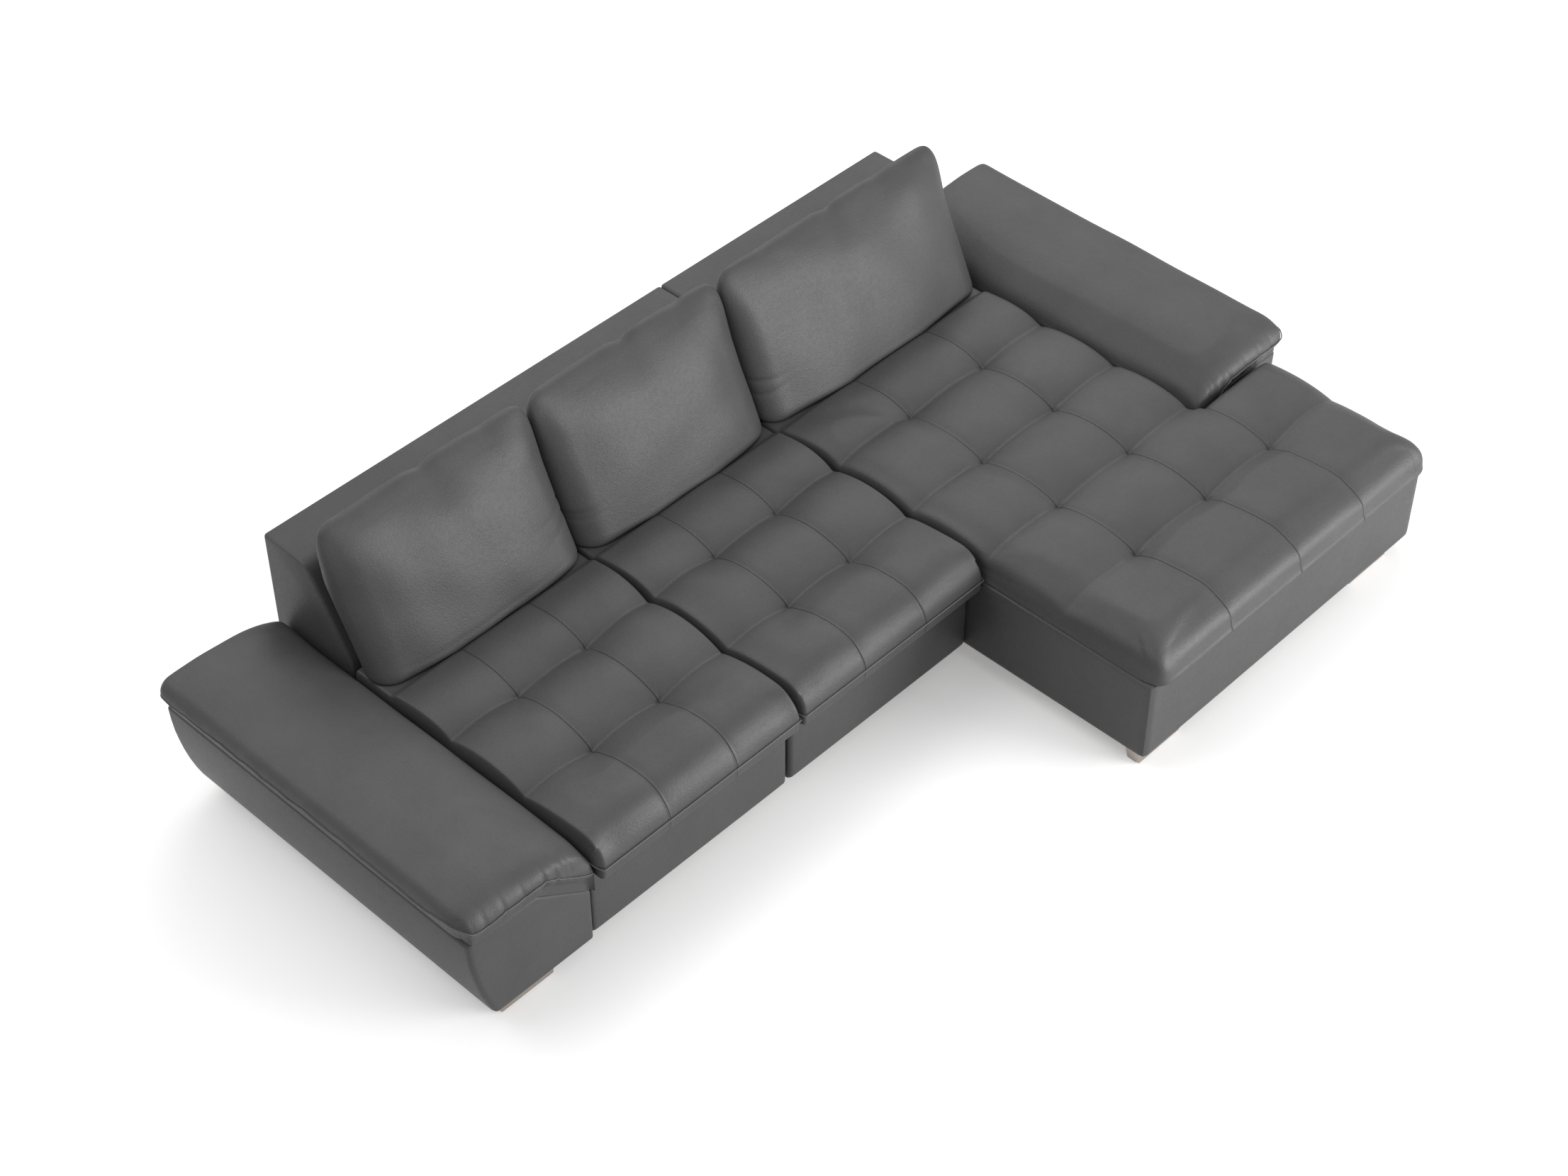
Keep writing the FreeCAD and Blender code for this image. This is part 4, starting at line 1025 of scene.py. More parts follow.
@dataclass
class TuftedCushion:
    """What the tufted cushions share: a stitched top, rolled sides, and how they are blown up."""

    node: str
    body: str
    seam: float
    crown: float
    tuft: float
    front_roll: float
    side_roll: float
    noise: tuple[float, int, float]
    corner: float
    voxel: float = 0.008
    cap: float = 0.012
    ceiling: float = 0.412
    front_room: float = 0.004
    side_room: float = 0.0
    side_fade: float = 0.03
    fill: float = 0.7

    def __post_init__(self) -> None:
        """Reads the cushion's place from its solid and lays out its stitching."""
        low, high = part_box(self.node)
        self.low, self.high = Vector(low), Vector((high[0], high[1], self.crown + MILLIMETRE))
        columns, rows = self.stitching()
        self.field = TuftField([self.low.x + at for at in columns], [self.low.y + at for at in rows],
                               self.crown, self.tuft, self.low, self.high)

    def boxes(self) -> list[Box]:
        """The boxes that the cushion starts from."""
        return [(self.low, self.high)]

    def rule(self, p: np.ndarray) -> np.ndarray:
        """The cushion's form, worked out for the points of its boxes."""
        return self.form(p).apply(p, self.field.height)

    def build(self) -> None:
        """Makes the cushion."""
        low, high = self.low, self.high
        padding = Padding(self.node, self.boxes(), self.voxel)
        padding.shape(self.rule)
        points = points_of(padding.piece)
        fixed = self.fixed(points) | (points[:, 1] > self.field.shelf_front)
        held = self.field.at_tufts(points) | fixed
        padding.inflate(type(self).__name__, Inflation(self.cap), held,
                        (low.x, low.y - self.front_room, low.z),
                        (high.x + self.side_room, high.y, self.ceiling))
        padding.shape(self.details)
        padding.mark_seams(self.field.seams)
        self.trim()
        padding.done(self.body, self.node, SEWN_LEATHER)

    def trim(self) -> None:
        """Adds nothing, unless the cushion has piping."""

    def details(self, p: np.ndarray) -> np.ndarray:
        """Adds pinched folds and a slight unevenness to the top.

        Args:
            p: the cushion's points.

        Returns:
            The moved points.
        """
        x, y, z = p.T
        size, seed, depth = self.noise
        on_top = np.clip((z - self.seam) / self.side_fade, 0, 1) * (y < self.field.shelf_front)
        lift = self.field.pinches(x, y) + soft_noise(p, size, seed) * depth
        return np.stack([x, y, z + lift * on_top], axis=1)


@dataclass
class SeatCushion(TuftedCushion):
    """One tufted seat cushion: a rolled front edge over a piped seam and a plain band."""

    body: str = "frame"
    seam: float = 0.320
    crown: float = 0.399
    tuft: float = 0.352
    front_roll: float = 0.082
    side_roll: float = 0.006
    noise: tuple[float, int, float] = (0.21, 5, 0.0012)
    corner: float = 2.2
    rows: tuple[float, ...] = (0.263, 0.515)
    band_step: float = 0.004
    piping: float = 0.0019
    piping_rear: float = 0.2

    def stitching(self) -> tuple[Sequence[float], Sequence[float]]:
        """The sewn lines' places from the left, and the tufts' rows from the front."""
        width = self.high.x - self.low.x
        return (width / 3, width * 2 / 3), self.rows

    def form(self, p: np.ndarray) -> RolledForm:
        """The form of sides that roll down to the piped seam."""
        sides = both_sides(self.low.x, self.high.x, self.side_roll)
        return RolledForm(self.low.z, self.seam, self.high.z, sides, [Side(self.low.y, 1, self.front_roll)],
                          self.corner, step=self.band_step)

    def fixed(self, p: np.ndarray) -> np.ndarray:
        """The points up to the piped seam, which don't move."""
        return p[:, 2] < self.seam + 0.002

    def trim(self) -> None:
        """Runs a thin bead round the front, along the seam."""
        low, high = self.low, self.high
        aside = np.linspace(low.y + self.piping_rear, low.y + self.front_room, 24)
        path = [(low.x, y, self.seam) for y in aside]
        path += [(x, low.y, self.seam) for x in np.linspace(low.x, high.x, 90)]
        path += [(high.x, y, self.seam) for y in aside[::-1]]
        sew_bead(self.node + "_piping", self.rule(np.array(path)), self.piping, self.body)


@dataclass
class ChaiseCushion(TuftedCushion):
    """The tufted cushion of the chaise: a long part beside the arm and a wing in front of it."""

    node: str = "chaise_cushion"
    body: str = "chaise_lid"
    seam: float = 0.332
    crown: float = 0.398
    tuft: float = 0.358
    front_roll: float = 0.115
    side_roll: float = 0.085
    noise: tuple[float, int, float] = (0.24, 9, 0.0014)
    corner: float = 4.2
    side_room: float = 0.004
    columns: tuple[float, ...] = (0.290, 0.577, 0.846)
    rows: tuple[float, ...] = (0.314, 0.566, 0.818, 1.070)
    under: float = 0.002
    beside_arm: float = 1.0825
    wing_rear: float = -0.3145
    arm_roll: float = 0.03
    seat_side_roll: float = 0.010
    seat_front: float = -0.40
    seat_ease: float = 0.14
    arm_gap: float = 0.02
    hem: float = 0.012

    def stitching(self) -> tuple[Sequence[float], Sequence[float]]:
        """The sewn lines' places from the left, and the tufts' rows from the front."""
        return self.columns, self.rows

    def boxes(self) -> list[Box]:
        """The long part and the wing."""
        low, high = self.low, self.high
        return [(low, (self.beside_arm, high.y, high.z)), (low, (high.x, self.wing_rear, high.z))]

    def form(self, p: np.ndarray) -> RolledForm:
        """The form of sides that roll far down in the open, and little beside the seat and the arm.

        Args:
            p: the points that it is for.

        Returns:
            The form.
        """
        wing = p[:, 1] <= self.wing_rear + 1e-4
        beside_seat = np.clip((p[:, 1] - self.seat_front) / self.seat_ease, 0, 1)
        left = Side(self.low.x, 1, self.side_roll + (self.seat_side_roll - self.side_roll) * beside_seat)
        right = Side(np.where(wing, self.high.x, self.beside_arm), -1,
                     np.where(wing, self.side_roll, self.arm_roll))
        behind = Side(np.where(p[:, 0] > self.beside_arm, self.wing_rear, math.inf), -1, self.arm_roll)
        return RolledForm(self.low.z, self.seam, self.high.z, [left, right],
                          [Side(self.low.y, 1, self.front_roll), behind], self.corner, under=self.under)

    def fixed(self, p: np.ndarray) -> np.ndarray:
        """The points at the hem and beside the arm, which don't move."""
        beside = (p[:, 0] > self.beside_arm - self.arm_gap) & (p[:, 1] > self.wing_rear - self.arm_gap)
        return (p[:, 2] < self.low.z + self.hem) | beside


@dataclass
class BackCushion:
    """A loose back cushion: a leaning pillow with full upper corners and a dent between them."""

    node: str
    seed: int
    folded: Hand
    voxel: float = 0.009
    cap: float = 0.014
    slab_front: float = 0.42
    slab_depth: float = 0.16
    front_foot: float = 0.4145
    front_lean: float = 0.44
    rear_foot: float = 0.556
    rear_lean: float = 0.533
    rear_start: float = 0.375
    rear_bend: float = 0.610
    crown: float = 0.030
    side_roll: float = 0.070
    top_roll: float = 0.115
    foot_roll: float = 0.018
    corner: float = 3.4
    power: float = 2.1
    dent: float = 0.013
    dent_reach: float = 0.10
    ear: float = 0.005
    fold: float = 0.006
    fill: float = 0.8

    def __post_init__(self) -> None:
        """Reads the cushion's place from its solid."""
        self.low, self.high = (Vector(corner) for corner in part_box(self.node))

    def rear(self, z: np.ndarray) -> np.ndarray:
        """The rear plane's y at each height: upright, then leaning over the back."""
        lean = np.clip(z - self.rear_start, 0, self.rear_bend - self.rear_start) * self.rear_lean
        return np.minimum(self.rear_foot + lean + np.clip(z - self.rear_bend, 0, 1) * 0.1, self.high.y)

    def rule(self, p: np.ndarray) -> np.ndarray:
        """The cushion's form, worked out from an upright slab.

        Args:
            p: points of the slab.

        Returns:
            The same points on the cushion.
        """
        x, y, z = p.T
        depth = (y - self.slab_front) / self.slab_depth
        face = np.abs(2 * depth - 1)
        sides = both_sides(self.low.x, self.high.x, self.side_roll)
        ends = both_sides(self.low.z, self.high.z, self.foot_roll, self.top_roll)
        in_x, in_z = shares_of(x, sides), shares_of(z, ends)
        in_z[0] = in_z[0] * 0.5
        scale = roundness(np.max(in_x, axis=0), np.max(in_z, axis=0), face, self.corner, self.power)
        x, z = draw_in(x, sides, in_x, 1 - scale), draw_in(z, ends, in_z, 1 - scale)
        across = (x - self.low.x) / (self.high.x - self.low.x)
        upright = (z - self.low.z) / (self.high.z - self.low.z)
        bulge = plump(across, 2.6, 1.0) * plump(0.42 + 0.50 * upright, 2.4, 1.0)
        middle = x - (self.low.x + self.high.x) / 2
        below = self.high.z - z
        notch = hump(middle, 0.034) + 0.35 * hump(middle - 0.19, 0.03)
        z = z - self.dent * notch * near(below, self.dent_reach)
        front = self.front_foot + (z - self.low.z) * self.front_lean + self.crown * (1 - bulge)
        front = front + 0.011 * hump(middle, 0.06) * np.exp(-below / self.dent_reach)
        front = front - self.ear * hump(np.abs(middle) - 0.27, 0.055) * hump(below - 0.05, 0.06)
        share = 0.5 + np.sign(depth - 0.5) * face * scale / 2
        rear = self.rear(z) - 0.010 * (1 - plump(across, 4.0, 1.0))
        return np.stack([x, front + (rear - front) * share, z], axis=1)

    def build(self) -> None:
        """Makes the cushion."""
        low, high = self.low, self.high
        slab = ((low.x, self.slab_front, low.z), (high.x, self.slab_front + self.slab_depth, high.z))
        padding = Padding(self.node, [slab], self.voxel)
        padding.shape(self.rule)
        x, y, z = points_of(padding.piece).T
        held = (y > self.rear(z) - 0.03) | (z < low.z + 0.03) | (x < low.x + 0.01) | (x > high.x - 0.01)
        padding.inflate("back", Inflation(self.cap), held, (low.x, 0.405, low.z - 0.003),
                        (high.x, high.y, high.z + 0.006))
        padding.shape(self.details)
        padding.done(self.node, self.node)

    def details(self, p: np.ndarray) -> np.ndarray:
        """Adds creases from one side and a slight unevenness.

        Args:
            p: the cushion's points.

        Returns:
            The moved points.
        """
        x, y, z = p.T
        front = np.clip((self.rear(z) - y) / 0.06, 0, 1)
        chance = np.random.default_rng(self.seed)
        push = soft_noise(p, 0.20, self.seed + 30) * 0.0025
        inward = np.abs(x - (self.low.x if self.folded is Hand.LEFT else self.high.x))
        for _ in range(2):
            at, width = chance.uniform(0.44, 0.52), chance.uniform(0.006, 0.010)
            line = z - at - chance.uniform(-0.25, 0.25) * inward
            push = push + self.fold * hump(line, width) * np.exp(-inward / 0.035)
        return np.stack([x, y + push * front, z], axis=1)


@dataclass
class ArmPad:
    """The soft pad over an arm: it drapes down the inner side and ends in a sewn lip outside and in front.

    Its three lines are its cross-section's top and underside and its front's seam, in millimetres outwards
    from the arm's inner side and up.
    """

    node: str
    inner: float
    hand: Hand
    voxel: float = 0.0085
    length: float = 0.560
    thick: float = 0.100
    foot_share: float = 0.5
    drape: float = 0.13
    nose: float = 0.090
    rear_roll: float = 0.03
    lip: float = 0.040
    power: float = 2.1
    overhang: float = 0.008
    set_back: float = 0.013
    side_seam: float = 0.399
    bead: float = 0.0016
    bead_end: float = 0.07
    cap: float = 0.007
    fill: float = 0.75
    lean: float = 1.4
    top_ease: int = 17

    top_line: tuple = ((2, 230), (3, 336), (6, 372), (22, 396), (77, 421), (140, 438), (264, 452), (333, 451),
                       (389, 445))
    low_line: tuple = ((12, 236), (60, 270), (110, 305), (158, 341.5), (230, 341.5), (300, 341.5),
                       (380, 341.5))
    front_seam: tuple = ((2, 301), (33, 315), (93, 357), (132, 384), (160, 388), (261, 392), (315, 388),
                         (354, 393), (389, 412))
    deep_puckers: tuple = (0.062, 0.078, 0.108, 0.141)
    low_puckers: tuple = (0.205, 0.262, 0.318, 0.351)

    def __post_init__(self) -> None:
        """Reads the pad's place from its solid."""
        low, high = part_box(self.node)
        self.low, self.high = Vector((low[0], low[1] - self.overhang, low[2])), Vector(high)

    @staticmethod
    def along(line: tuple, share: np.ndarray, reach: int = 8) -> tuple[np.ndarray, np.ndarray]:
        """A place on a line of the cross-section.

        Args:
            line: its corners.
            share: the place along it, from 0 to 1.
            reach: how far its corners are eased, in steps of a 200th of its length.

        Returns:
            Outward distance and height, in metres.
        """
        corners = np.array(line, dtype=float) * MILLIMETRE
        steps = np.hypot(*np.diff(corners, axis=0).T)
        places = np.concatenate([[0], np.cumsum(steps)]) / steps.sum()
        fine = np.linspace(0, 1, 200)
        kernel = np.hanning(2 * reach + 1) / np.hanning(2 * reach + 1).sum()
        wide = [np.pad(np.interp(fine, places, part), reach, mode="reflect", reflect_type="odd")
                for part in corners.T]
        return tuple(np.interp(share, fine, np.convolve(part, kernel, "valid")) for part in wide)

    def section(self, share: np.ndarray) -> tuple[np.ndarray, ...]:
        """The pad's cross-section.

        Args:
            share: the place along it, from 0 to 1.

        Returns:
            The underside's outward distance and height, and how much further out and up the top is.
        """
        top_a, top_z = self.along(self.top_line, share, self.top_ease)
        low_a, low_z = self.along(self.low_line, share)
        return low_a, low_z, top_a - low_a, np.maximum(top_z - low_z, 0.004)

    def rule(self, p: np.ndarray) -> np.ndarray:
        """The pad's form, worked out from a flat slab.

        Args:
            p: points of the slab: x along the section, y along the arm, z through the thickness.

        Returns:
            The same points on the pad.
        """
        s, y, through = p[:, 0], p[:, 1], p[:, 2] / self.thick
        outer = [Side(self.length, -1, self.lip)]
        ends = both_sides(self.low.y, self.high.y, self.nose, self.rear_roll)
        up = np.clip((through - self.foot_share) / (1 - self.foot_share), 0, 1)
        in_s, in_y = shares_of(s, outer), shares_of(y, ends)
        scale = roundness(in_s[0], np.max(in_y, axis=0), up, self.power, self.power)
        s = draw_in(s, outer, in_s, 1 - scale)
        y = draw_in(y, ends, in_y, (1 - scale) * (0.3 + 0.7 * np.clip(s / 0.14, 0, 1)))
        fore = np.clip(1 - (y - self.low.y - 0.02) / 0.12, 0, 1)
        low_a, low_z, width, height = self.section(s / self.length)
        side_split = np.clip((self.side_seam - low_z) / height, 0.2, 0.62)
        split = self.front_split(s / self.length) * fore + side_split * (1 - fore)
        r = np.clip(through / self.foot_share, 0, 1)
        rise = np.where(up > 0, split + up * scale * (1 - split), split * r)
        a, z = low_a + width * np.clip(rise * self.lean, 0, 1), low_z + height * rise
        seam_lip = 0.0025
        back = np.where(up > 0, 0.0, seam_lip * np.clip((1 - r) / 0.08, 0, 1)
                        + (self.set_back - seam_lip) * np.clip((0.72 - r) / 0.14, 0, 1))
        a = a - back * in_s[0]
        y = y + (self.overhang + 0.007) / self.set_back * back * in_y[0] ** 1.6
        return np.stack([self.inner + self.hand.value * a, y, z], axis=1)

    def front_split(self, share: np.ndarray) -> np.ndarray:
        """Where the front seam crosses the pad's thickness.

        Args:
            share: the place along the section, from 0 to 1.

        Returns:
            The seam's place between the underside (0) and the top (1).
        """
        seam_a, seam_z = self.along(self.front_seam, np.linspace(0, 1, 120))
        places, rise = np.linspace(0, 1, 90), np.linspace(0, 1, 60)
        low_a, low_z, width, height = self.section(places)
        a = low_a + width * np.clip(rise * self.lean, 0, 1)[:, None]
        above = low_z + height * rise[:, None] > np.interp(a, seam_a, seam_z)
        crossing = np.where(above.any(axis=0), rise[above.argmax(axis=0)], 1.0)
        return np.interp(share, places, np.clip(crossing, 0.2, 0.9))

    def build(self) -> None:
        """Makes the pad and the bead along its seam."""
        low, high = self.low, self.high
        padding = Padding(self.node, [((0.0, low.y, 0.0), (self.length, high.y, self.thick))], self.voxel)
        s, y, through = points_of(padding.piece).T
        padding.shape(self.rule)
        held = (through < self.thick * (self.foot_share + 0.03)) | (s < self.drape) | (y > high.y - 0.02)
        left, right = sorted((self.inner, self.inner + self.hand.value * 0.3893))
        padding.inflate(self.node, Inflation(self.cap), held, (left, low.y - 0.003, 0.228),
                        (right, high.y, 0.458))
        if self.hand is Hand.LEFT:
            face_outwards(padding.piece)
        padding.shape(self.details)
        level = self.thick * self.foot_share
        path = [(self.length, at, level) for at in np.linspace(high.y - 0.01, low.y, 130)]
        path += [(at, low.y, level) for at in np.linspace(self.length - 0.004, self.bead_end, 80)]
        sew_bead(self.node + "_bead", self.details(self.rule(np.array(path))), self.bead, "frame")
        padding.done("frame", self.node)

    def details(self, p: np.ndarray) -> np.ndarray:
        """Adds puckers above the lip's seam and the front seam.

        Args:
            p: the pad's points.

        Returns:
            The moved points.
        """
        x, y, z = p.T
        out = self.hand.value * (x - self.inner)
        chance = np.random.default_rng(4)
        line = np.stack([y * 0, y, y * 0], axis=1)
        ripple = soft_noise(line, 0.11, 3) + 0.6 * soft_noise(line, 0.04, 8)
        z = z + 0.003 * ripple * np.clip((out - 0.34) / 0.03, 0, 1) * near(np.abs(z - 0.402), 0.03)
        front = near(y - self.low.y, 0.06) * np.clip((z - 0.34) / 0.03, 0, 1)
        for at in self.deep_puckers + self.low_puckers:
            deep = 0.0036 if at in self.deep_puckers else 0.0018
            y = y + deep * front * hump(out - at, chance.uniform(0.005, 0.008))
        z = z + soft_noise(p, 0.26, 12) * 0.0018 * np.clip((z - 0.345) / 0.05, 0, 1)
        return np.stack([x, y, z], axis=1)


@dataclass
class DrawerFront:
    """The padded front of a drawer: a thin panel with rounded ends."""

    node: str
    body: str
    voxel: float = 0.0075
    end_round: float = 0.009
    rim_round: float = 0.012
    crown: float = 0.004
    power: float = 2.2
    fill: float = 0.9

    def rule(self, p: np.ndarray) -> np.ndarray:
        """The panel's form, worked out from its box.

        Args:
            p: points of the box.

        Returns:
            The same points on the panel.
        """
        (low, high), (x, y, z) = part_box(self.node), p.T
        ends, rims = both_sides(low[0], high[0], self.end_round), both_sides(low[2], high[2], self.rim_round)
        in_x, in_z = shares_of(x, ends), shares_of(z, rims)
        depth = high[1] - low[1]
        face = np.clip((high[1] - y) / depth, 0, 1)
        scale = roundness(np.max(in_x, axis=0), np.max(in_z, axis=0), face, self.power, self.power)
        x, z = draw_in(x, ends, in_x, 1 - scale), draw_in(z, rims, in_z, 1 - scale)
        across = plump((x - low[0]) / (high[0] - low[0]), 8.0, 1.0)
        upright = plump((z - low[2]) / (high[2] - low[2]), 3.0, 1.0)
        y = high[1] - depth * face * scale + self.crown * face * (1 - across * upright)
        return np.stack([x, y, z], axis=1)

    def build(self) -> None:
        """Makes the panel."""
        padding = Padding(self.node, [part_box(self.node)], self.voxel)
        padding.shape(self.rule)
        padding.refine()
        padding.done(self.body, self.node)


@dataclass
class ChaiseSkirt:
    """The leather skirt round the chaise's box: crisp at the left, well rounded at the right."""

    node: str = "chaise_cover"
    left_round: float = 0.010
    right_round: float = 0.035
    step_round: float = 0.012
    arm_round: float = 0.004
    beside_arm: float = 1.0822
    wing_depth: float = 0.5305
    skin: float = 0.004
    hem: float = 0.007
    rim: float = 0.0025
    rim_rise: float = 0.0003
    squares: tuple[int, int] = (420, 40)
    fill: float = 0.9

    def outline(self) -> np.ndarray:
        """The skirt's outline in plan, from the rear left round the front to the rear right.

        Returns:
            Its points.
        """
        low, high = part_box(self.node)
        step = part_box("chaise_cushion")[0][1] + self.wing_depth
        corners = [(low[0], high[1], 0.0), (low[0], low[1], self.left_round),
                   (high[0], low[1], self.right_round), (high[0], step, self.step_round),
                   (self.beside_arm, step, self.arm_round), (self.beside_arm, high[1], 0.0)]
        found = [np.array(corners[0][:2])]
        for before, (x, y, radius), after in zip(corners, corners[1:], corners[2:]):
            here = np.array([x, y])
            back, ahead = np.array(before[:2]) - here, np.array(after[:2]) - here
            back, ahead = back / np.linalg.norm(back), ahead / np.linalg.norm(ahead)
            centre = here + (back + ahead) * radius
            for turn in np.linspace(0, math.pi / 2, 13):
                found.append(centre - ahead * radius * math.cos(turn) - back * radius * math.sin(turn))
        return np.array([*found, corners[-1][:2]])

    def build(self) -> None:
        """Makes the skirt."""
        low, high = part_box(self.node)
        bpy.ops.object.select_all(action="DESELECT")
        across, up = self.squares
        bpy.ops.mesh.primitive_grid_add(x_subdivisions=across, y_subdivisions=up, size=1.0)
        piece = bpy.context.object
        piece.name = self.node + "_leather"
        line = self.outline()
        lengths = np.concatenate([[0], np.cumsum(np.linalg.norm(np.diff(line, axis=0), axis=1))])

        def on_line(at: np.ndarray) -> np.ndarray:
            """The place in plan at each length along the outline."""
            return np.stack([np.interp(at, lengths, part) for part in line.T])

        p = points_of(piece) + 0.5
        along = p[:, 0] * lengths[-1]
        height = high[2] - low[2] + self.rim_rise
        rise = p[:, 1] * (height + self.rim)
        way = on_line(along + 2 * MILLIMETRE) - on_line(along - 2 * MILLIMETRE)
        way = way / np.maximum(np.linalg.norm(way, axis=0), TINY)
        ends = np.clip(np.minimum(rise, height - rise), 0, None)
        tuck = self.hem * (1 - np.sqrt(np.clip(1 - near(ends, self.hem) ** 2, 0, 1)))
        tuck = tuck + np.clip(rise - height, 0, None)
        x, y = on_line(along) + np.stack([-way[1], way[0]]) * tuck
        set_points(piece, np.stack([x, y, low[2] + np.minimum(rise, height)], axis=1))
        use_modifier(piece, "SOLIDIFY", thickness=self.skin, offset=1.0)
        face_outwards(piece)
        smooth(piece, 50.0)
        settle(piece, "frame", LEATHER, [self.node])


# Bodies and feet with flat sides, cut from boxes.


@dataclass
class CoveredBody:
    """An upholstered body with flat sides: its form is cut from a box and its edges are eased."""

    node: str
    cuts: list[tuple[Point, Point]]
    edges: list[tuple[EdgeTest, float]]
    ease: float

    def build(self) -> None:
        """Makes the body."""
        piece = add_box(self.node + "_leather", *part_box(self.node))
        cut_off(piece, self.cuts)
        self.round(piece)
        smooth(piece, 40.0)
        settle(piece, "frame", LEATHER, [self.node])

    def round(self, piece: bpy.types.Object) -> None:
        """Rounds chosen edges by their own radius and all others slightly.

        Args:
            piece: the cut box.
        """
        mesh = piece.data
        widest = max([self.ease, *[radius for _, radius in self.edges]])
        weights = mesh.attributes.new("bevel_weight_edge", "FLOAT", "EDGE")
        for edge in mesh.edges:
            a, b = (mesh.vertices[i].co for i in edge.vertices)
            radius = next((size for test, size in self.edges if test(a, b)), self.ease)
            weights.data[edge.index].value = radius / widest
        use_modifier(piece, "BEVEL", width=widest, segments=5, limit_method="WEIGHT", use_clamp_overlap=True)


@dataclass
class Bodies:
    """The upholstered bodies: arms and backs. The arm's side is in millimetres, outwards and up."""

    arm_side: tuple = ((308, 56), (324, 97), (337, 138), (347, 178), (355, 218), (361, 255), (365, 297),
                       (367, 341))
    drape_foot: float = 0.227
    drape_slope: tuple[float, float] = (114.0, 161.0)
    back_bend: float = 0.375
    back_slope: tuple[float, float] = (-0.257, 0.137)
    corner_round: float = 0.016
    back_round: float = 0.030
    arm_ease: float = 0.009
    back_ease: float = 0.010

    def build(self) -> None:
        """Makes all four bodies."""
        self.build_arm("left_arm_cover", Hand.LEFT)
        self.build_arm("right_arm_cover", Hand.RIGHT)
        self.build_back("seat_back_cover")
        self.build_back("chaise_back_cover")

    def build_arm(self, node: str, hand: Hand) -> None:
        """Makes an arm: a curved outer side and a slope under the pad's inner drape.

        Args:
            node: the solid that it stands for.
            hand: its end of the sofa.
        """
        low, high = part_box(node)
        outwards = hand.value
        inner = high[0] if hand is Hand.LEFT else low[0]
        run, rise = self.drape_slope
        cuts = [((inner, 0.0, self.drape_foot), (-outwards * run, 0.0, rise))]
        for (a, z), (b, top) in zip(self.arm_side, self.arm_side[1:]):
            at = (inner + outwards * a * MILLIMETRE, 0.0, z * MILLIMETRE)
            cuts.append((at, (outwards * (top - z), 0.0, -(b - a))))

        def outer(a: Vector, b: Vector, limit: float) -> bool:
            """Whether both ends lie beyond a distance from the arm's inner side."""
            return min(outwards * (a.x - inner), outwards * (b.x - inner)) > limit

        def front_corner(a: Vector, b: Vector) -> bool:
            """The upright edge between the arm's front and its outer side."""
            return outer(a, b, 0.29) and max(a.y, b.y) < low[1] + MILLIMETRE

        def facet(a: Vector, b: Vector) -> bool:
            """An edge along the curved side that is no real edge."""
            return outer(a, b, 0.312) and abs(a.y - b.y) > 0.1 and a.z < 0.335

        CoveredBody(node, cuts, [(facet, 0.0), (front_corner, self.corner_round)], self.arm_ease).build()

    def build_back(self, node: str) -> None:
        """Makes a back: upright below, sloping above, with a rounded front edge on top.

        Args:
            node: the solid that it stands for.
        """
        low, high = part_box(node)

        def top_front(a: Vector, b: Vector) -> bool:
            """The long edge between the flat top and the slope."""
            return min(a.z, b.z) > high[2] - MILLIMETRE and abs(a.x - b.x) > 0.1 and a.y < high[1] - 0.1

        def bend(a: Vector, b: Vector) -> bool:
            """The long edge at the foot of the slope."""
            return abs(a.x - b.x) > 0.1 and a.z > 0.3 and a.y < low[1] + 0.05

        cuts = [((0.0, low[1], self.back_bend), (0.0, *self.back_slope))]
        edges = [(top_front, self.back_round), (bend, self.back_round)]
        CoveredBody(node, cuts, edges, self.back_ease).build()


@dataclass
class BlockFoot:
    """A flat metal foot: its ends and its rear draw in towards the floor and its front stays upright."""

    node: str
    taper: float = 0.007
    ease: float = 0.0015

    def build(self) -> None:
        """Makes the foot."""
        low, high = (Vector(corner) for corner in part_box(self.node))
        piece = add_box(self.node + "_block", low, high)
        rise = high.z - low.z
        cut_off(piece, [((low.x, high.y, high.z), (-rise, 0.0, -self.taper)),
                        (tuple(high), (rise, 0.0, -self.taper)), (tuple(high), (0.0, rise, -self.taper))])
        use_modifier(piece, "BEVEL", width=self.ease, segments=3)
        smooth(piece, 30.0)
        settle(piece, "frame", NICKEL, [self.node])


# Floor, light and camera.


@dataclass(frozen=True)
class Lamp:
    """One square lamp: its place, what it faces, its side and its power in watts."""

    name: str
    at: Point
    towards: Point
    size: float
    power: float

    def build(self) -> None:
        """Hangs the lamp."""
        data = bpy.data.lights.new(self.name, "AREA")
        data.size = self.size
        data.energy = self.power
        lamp = bpy.data.objects.new(self.name, data)
        lamp.location = self.at
        lamp.rotation_euler = (Vector(self.towards) - Vector(self.at)).to_track_quat("-Z", "Y").to_euler()
        bpy.context.collection.objects.link(lamp)


LAMPS = (
    Lamp("key_lamp", (3.6, -5.9, 1.7), (0.0, 0.1, 0.3), 3.4, 400.0),
    Lamp("front_lamp", (0.5, -5.8, 4.2), (0.0, 0.1, 0.3), 3.4, 75.0),
    Lamp("rear_lamp", (3.9, 3.6, 5.2), (0.0, 0.1, 0.3), 5.0, 115.0),
    Lamp("left_lamp", (-2.7, 1.9, 4.8), (-0.4, 0.2, 0.3), 3.4, 68.0),
)


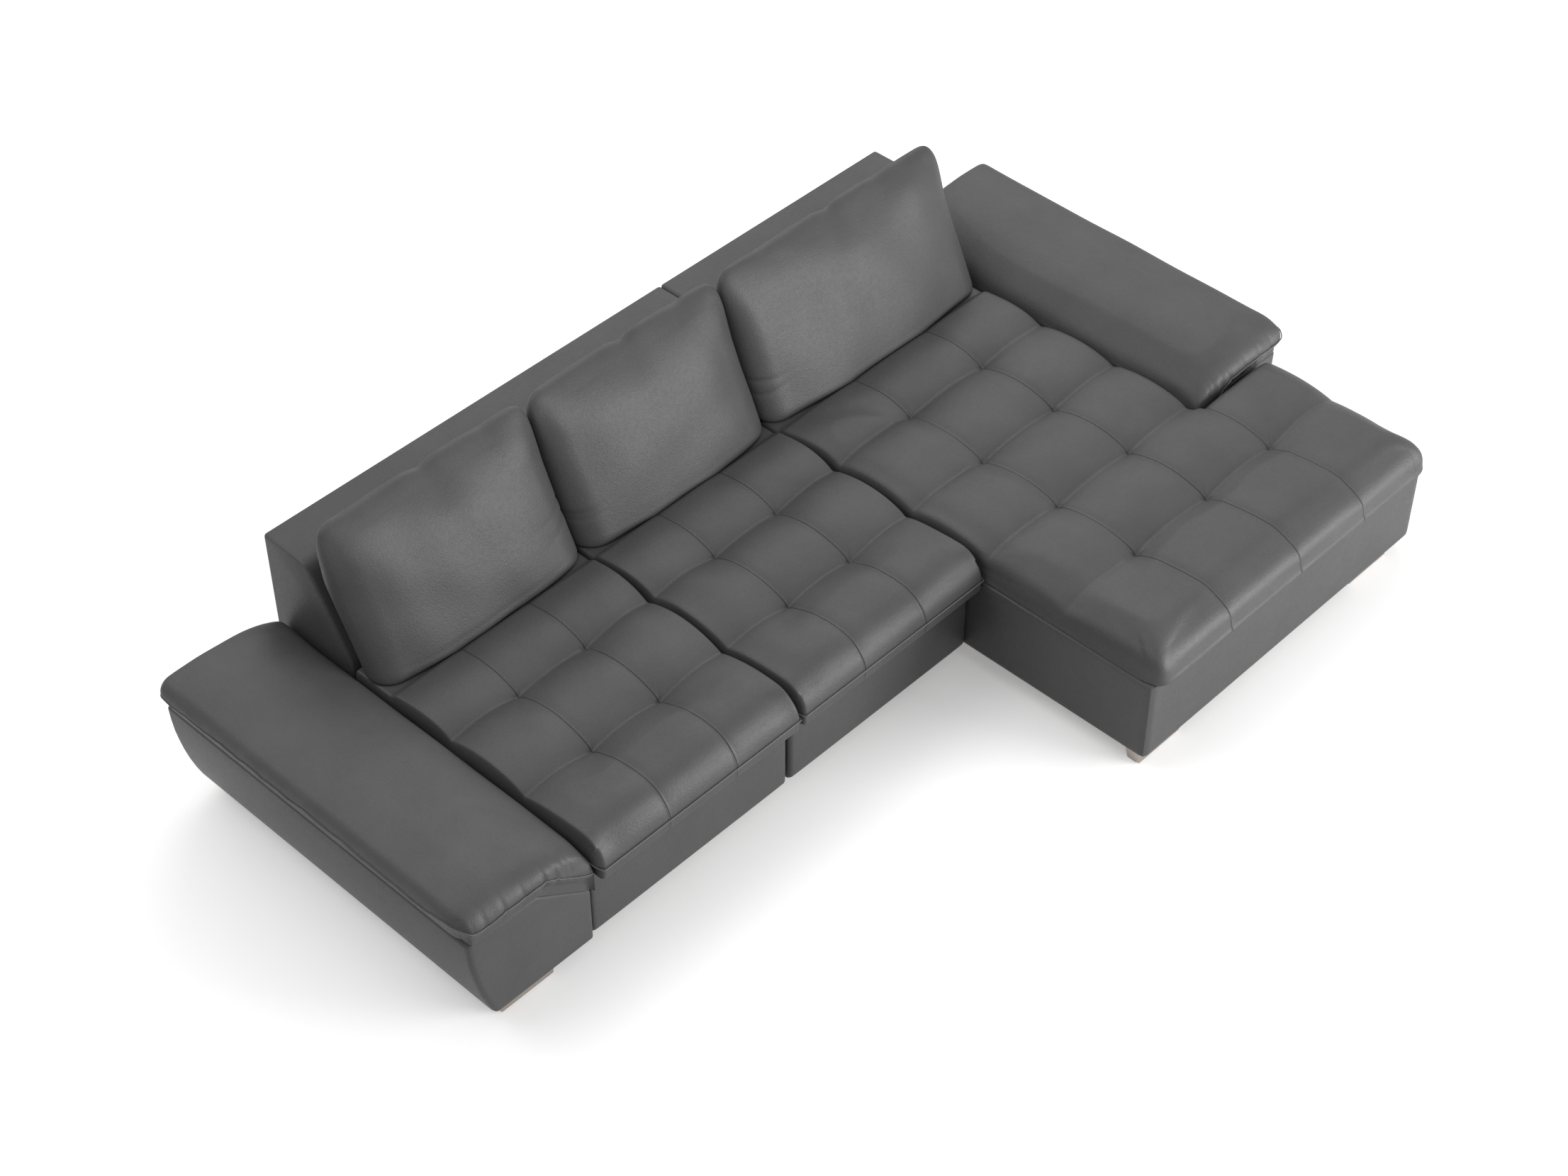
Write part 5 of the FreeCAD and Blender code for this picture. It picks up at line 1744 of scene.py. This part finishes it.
@dataclass
class Studio:
    """Floor, light and camera."""

    image_width: int = 2212
    focal_pixels: float = 4041.9
    sensor: float = 36.0
    camera_at: Point = (-3.8560, -3.5075, 5.2777)
    camera_right: Point = (0.6899, -0.7239, 0.0)
    camera_up: Point = (0.5020, 0.4784, 0.7204)
    camera_back: Point = (-0.5215, -0.4970, 0.6935)
    floor_size: float = 400.0
    floor_tone: float = 0.97
    floor_glow: float = 0.26
    front_sky: float = 0.33
    rear_sky: float = 0.76

    def build(self) -> None:
        """Sets up the floor, the surround, the lamps and the camera."""
        self.build_floor()
        self.build_surround()
        for lamp in LAMPS:
            lamp.build()
        self.build_camera()

    def build_floor(self) -> None:
        """A pale floor without pattern. It throws no light back onto the sofa and glows a little."""
        bpy.ops.object.select_all(action="DESELECT")
        bpy.ops.mesh.primitive_plane_add(size=self.floor_size, location=(0, 0, 0))
        floor = bpy.context.object
        floor.name = "studio_floor"
        material, hand, shader = fresh_material("studio_floor")
        values = {"Base Color": (self.floor_tone, self.floor_tone, self.floor_tone, 1.0), "Roughness": 0.9,
                  "Specular IOR Level": 0.1, "Emission Color": WHITE, "Emission Strength": self.floor_glow}
        for key, value in values.items():
            hand.fill(shader, key, value)
        floor.data.materials.append(material)
        floor.visible_diffuse = False

    def build_surround(self) -> None:
        """A white surround above the floor, brighter behind the sofa than in front of it."""
        world = bpy.data.worlds.new("studio")
        world.use_nodes = True
        hand = Nodes(world.node_tree)
        background = world.node_tree.nodes["Background"]
        way = hand.add("SeparateXYZ", Vector=hand.add("TexCoord").outputs["Generated"])
        above = hand.spread(way.outputs["Z"], -0.15, 0.15, 0.0, 1.0)
        strength = hand.spread(way.outputs["Y"], -0.8, 0.8, self.front_sky, self.rear_sky)
        hand.fill(background, "Strength", hand.math("MULTIPLY", above, strength))
        hand.fill(background, "Color", WHITE)
        bpy.context.scene.world = world
        bpy.context.scene.view_settings.view_transform = "Standard"

    def build_camera(self) -> None:
        """The camera at the photograph's place."""
        data = bpy.data.cameras.new("camera")
        data.sensor_width = self.sensor
        data.lens = self.focal_pixels / self.image_width * self.sensor
        data.clip_end = 100.0
        camera = bpy.data.objects.new("camera", data)
        turn = Matrix((self.camera_right, self.camera_up, self.camera_back)).transposed()
        camera.matrix_world = Matrix.Translation(self.camera_at) @ turn.to_4x4()
        bpy.context.collection.objects.link(camera)
        bpy.context.scene.camera = camera


def dress_solids() -> None:
    """Gives every solid its finish."""
    for subpart in frame["record"]["subparts"]:
        piece = frame["nodes"][subpart["node"]]
        material = SLOTS[subpart["material_slot"]].material()
        for holder in [piece, *piece.children_recursive]:
            if holder.type == "MESH":
                holder.data.materials.clear()
                holder.data.materials.append(material)


def main() -> None:
    """Builds the sofa's looks in order."""
    logging.basicConfig(level=logging.INFO, format="%(message)s")
    Studio().build()
    dress_solids()
    Bodies().build()
    SeatCushion("left_seat_cushion").build()
    SeatCushion("right_seat_cushion").build()
    ChaiseCushion().build()
    BackCushion("left_back_cushion", 1, Hand.RIGHT).build()
    BackCushion("middle_back_cushion", 2, Hand.LEFT).build()
    BackCushion("chaise_back_cushion", 3, Hand.LEFT).build()
    DrawerFront("left_drawer_front", "left_drawer").build()
    DrawerFront("right_drawer_front", "right_drawer").build()
    for node in ("left_arm_front_foot", "chaise_left_foot", "chaise_right_foot"):
        BlockFoot(node).build()
    ChaiseSkirt().build()
    ArmPad("left_arm_pad", -1.0855, Hand.LEFT).build()
    ArmPad("right_arm_pad", 1.0855, Hand.RIGHT).build()


if __name__ == "__main__":
    main()
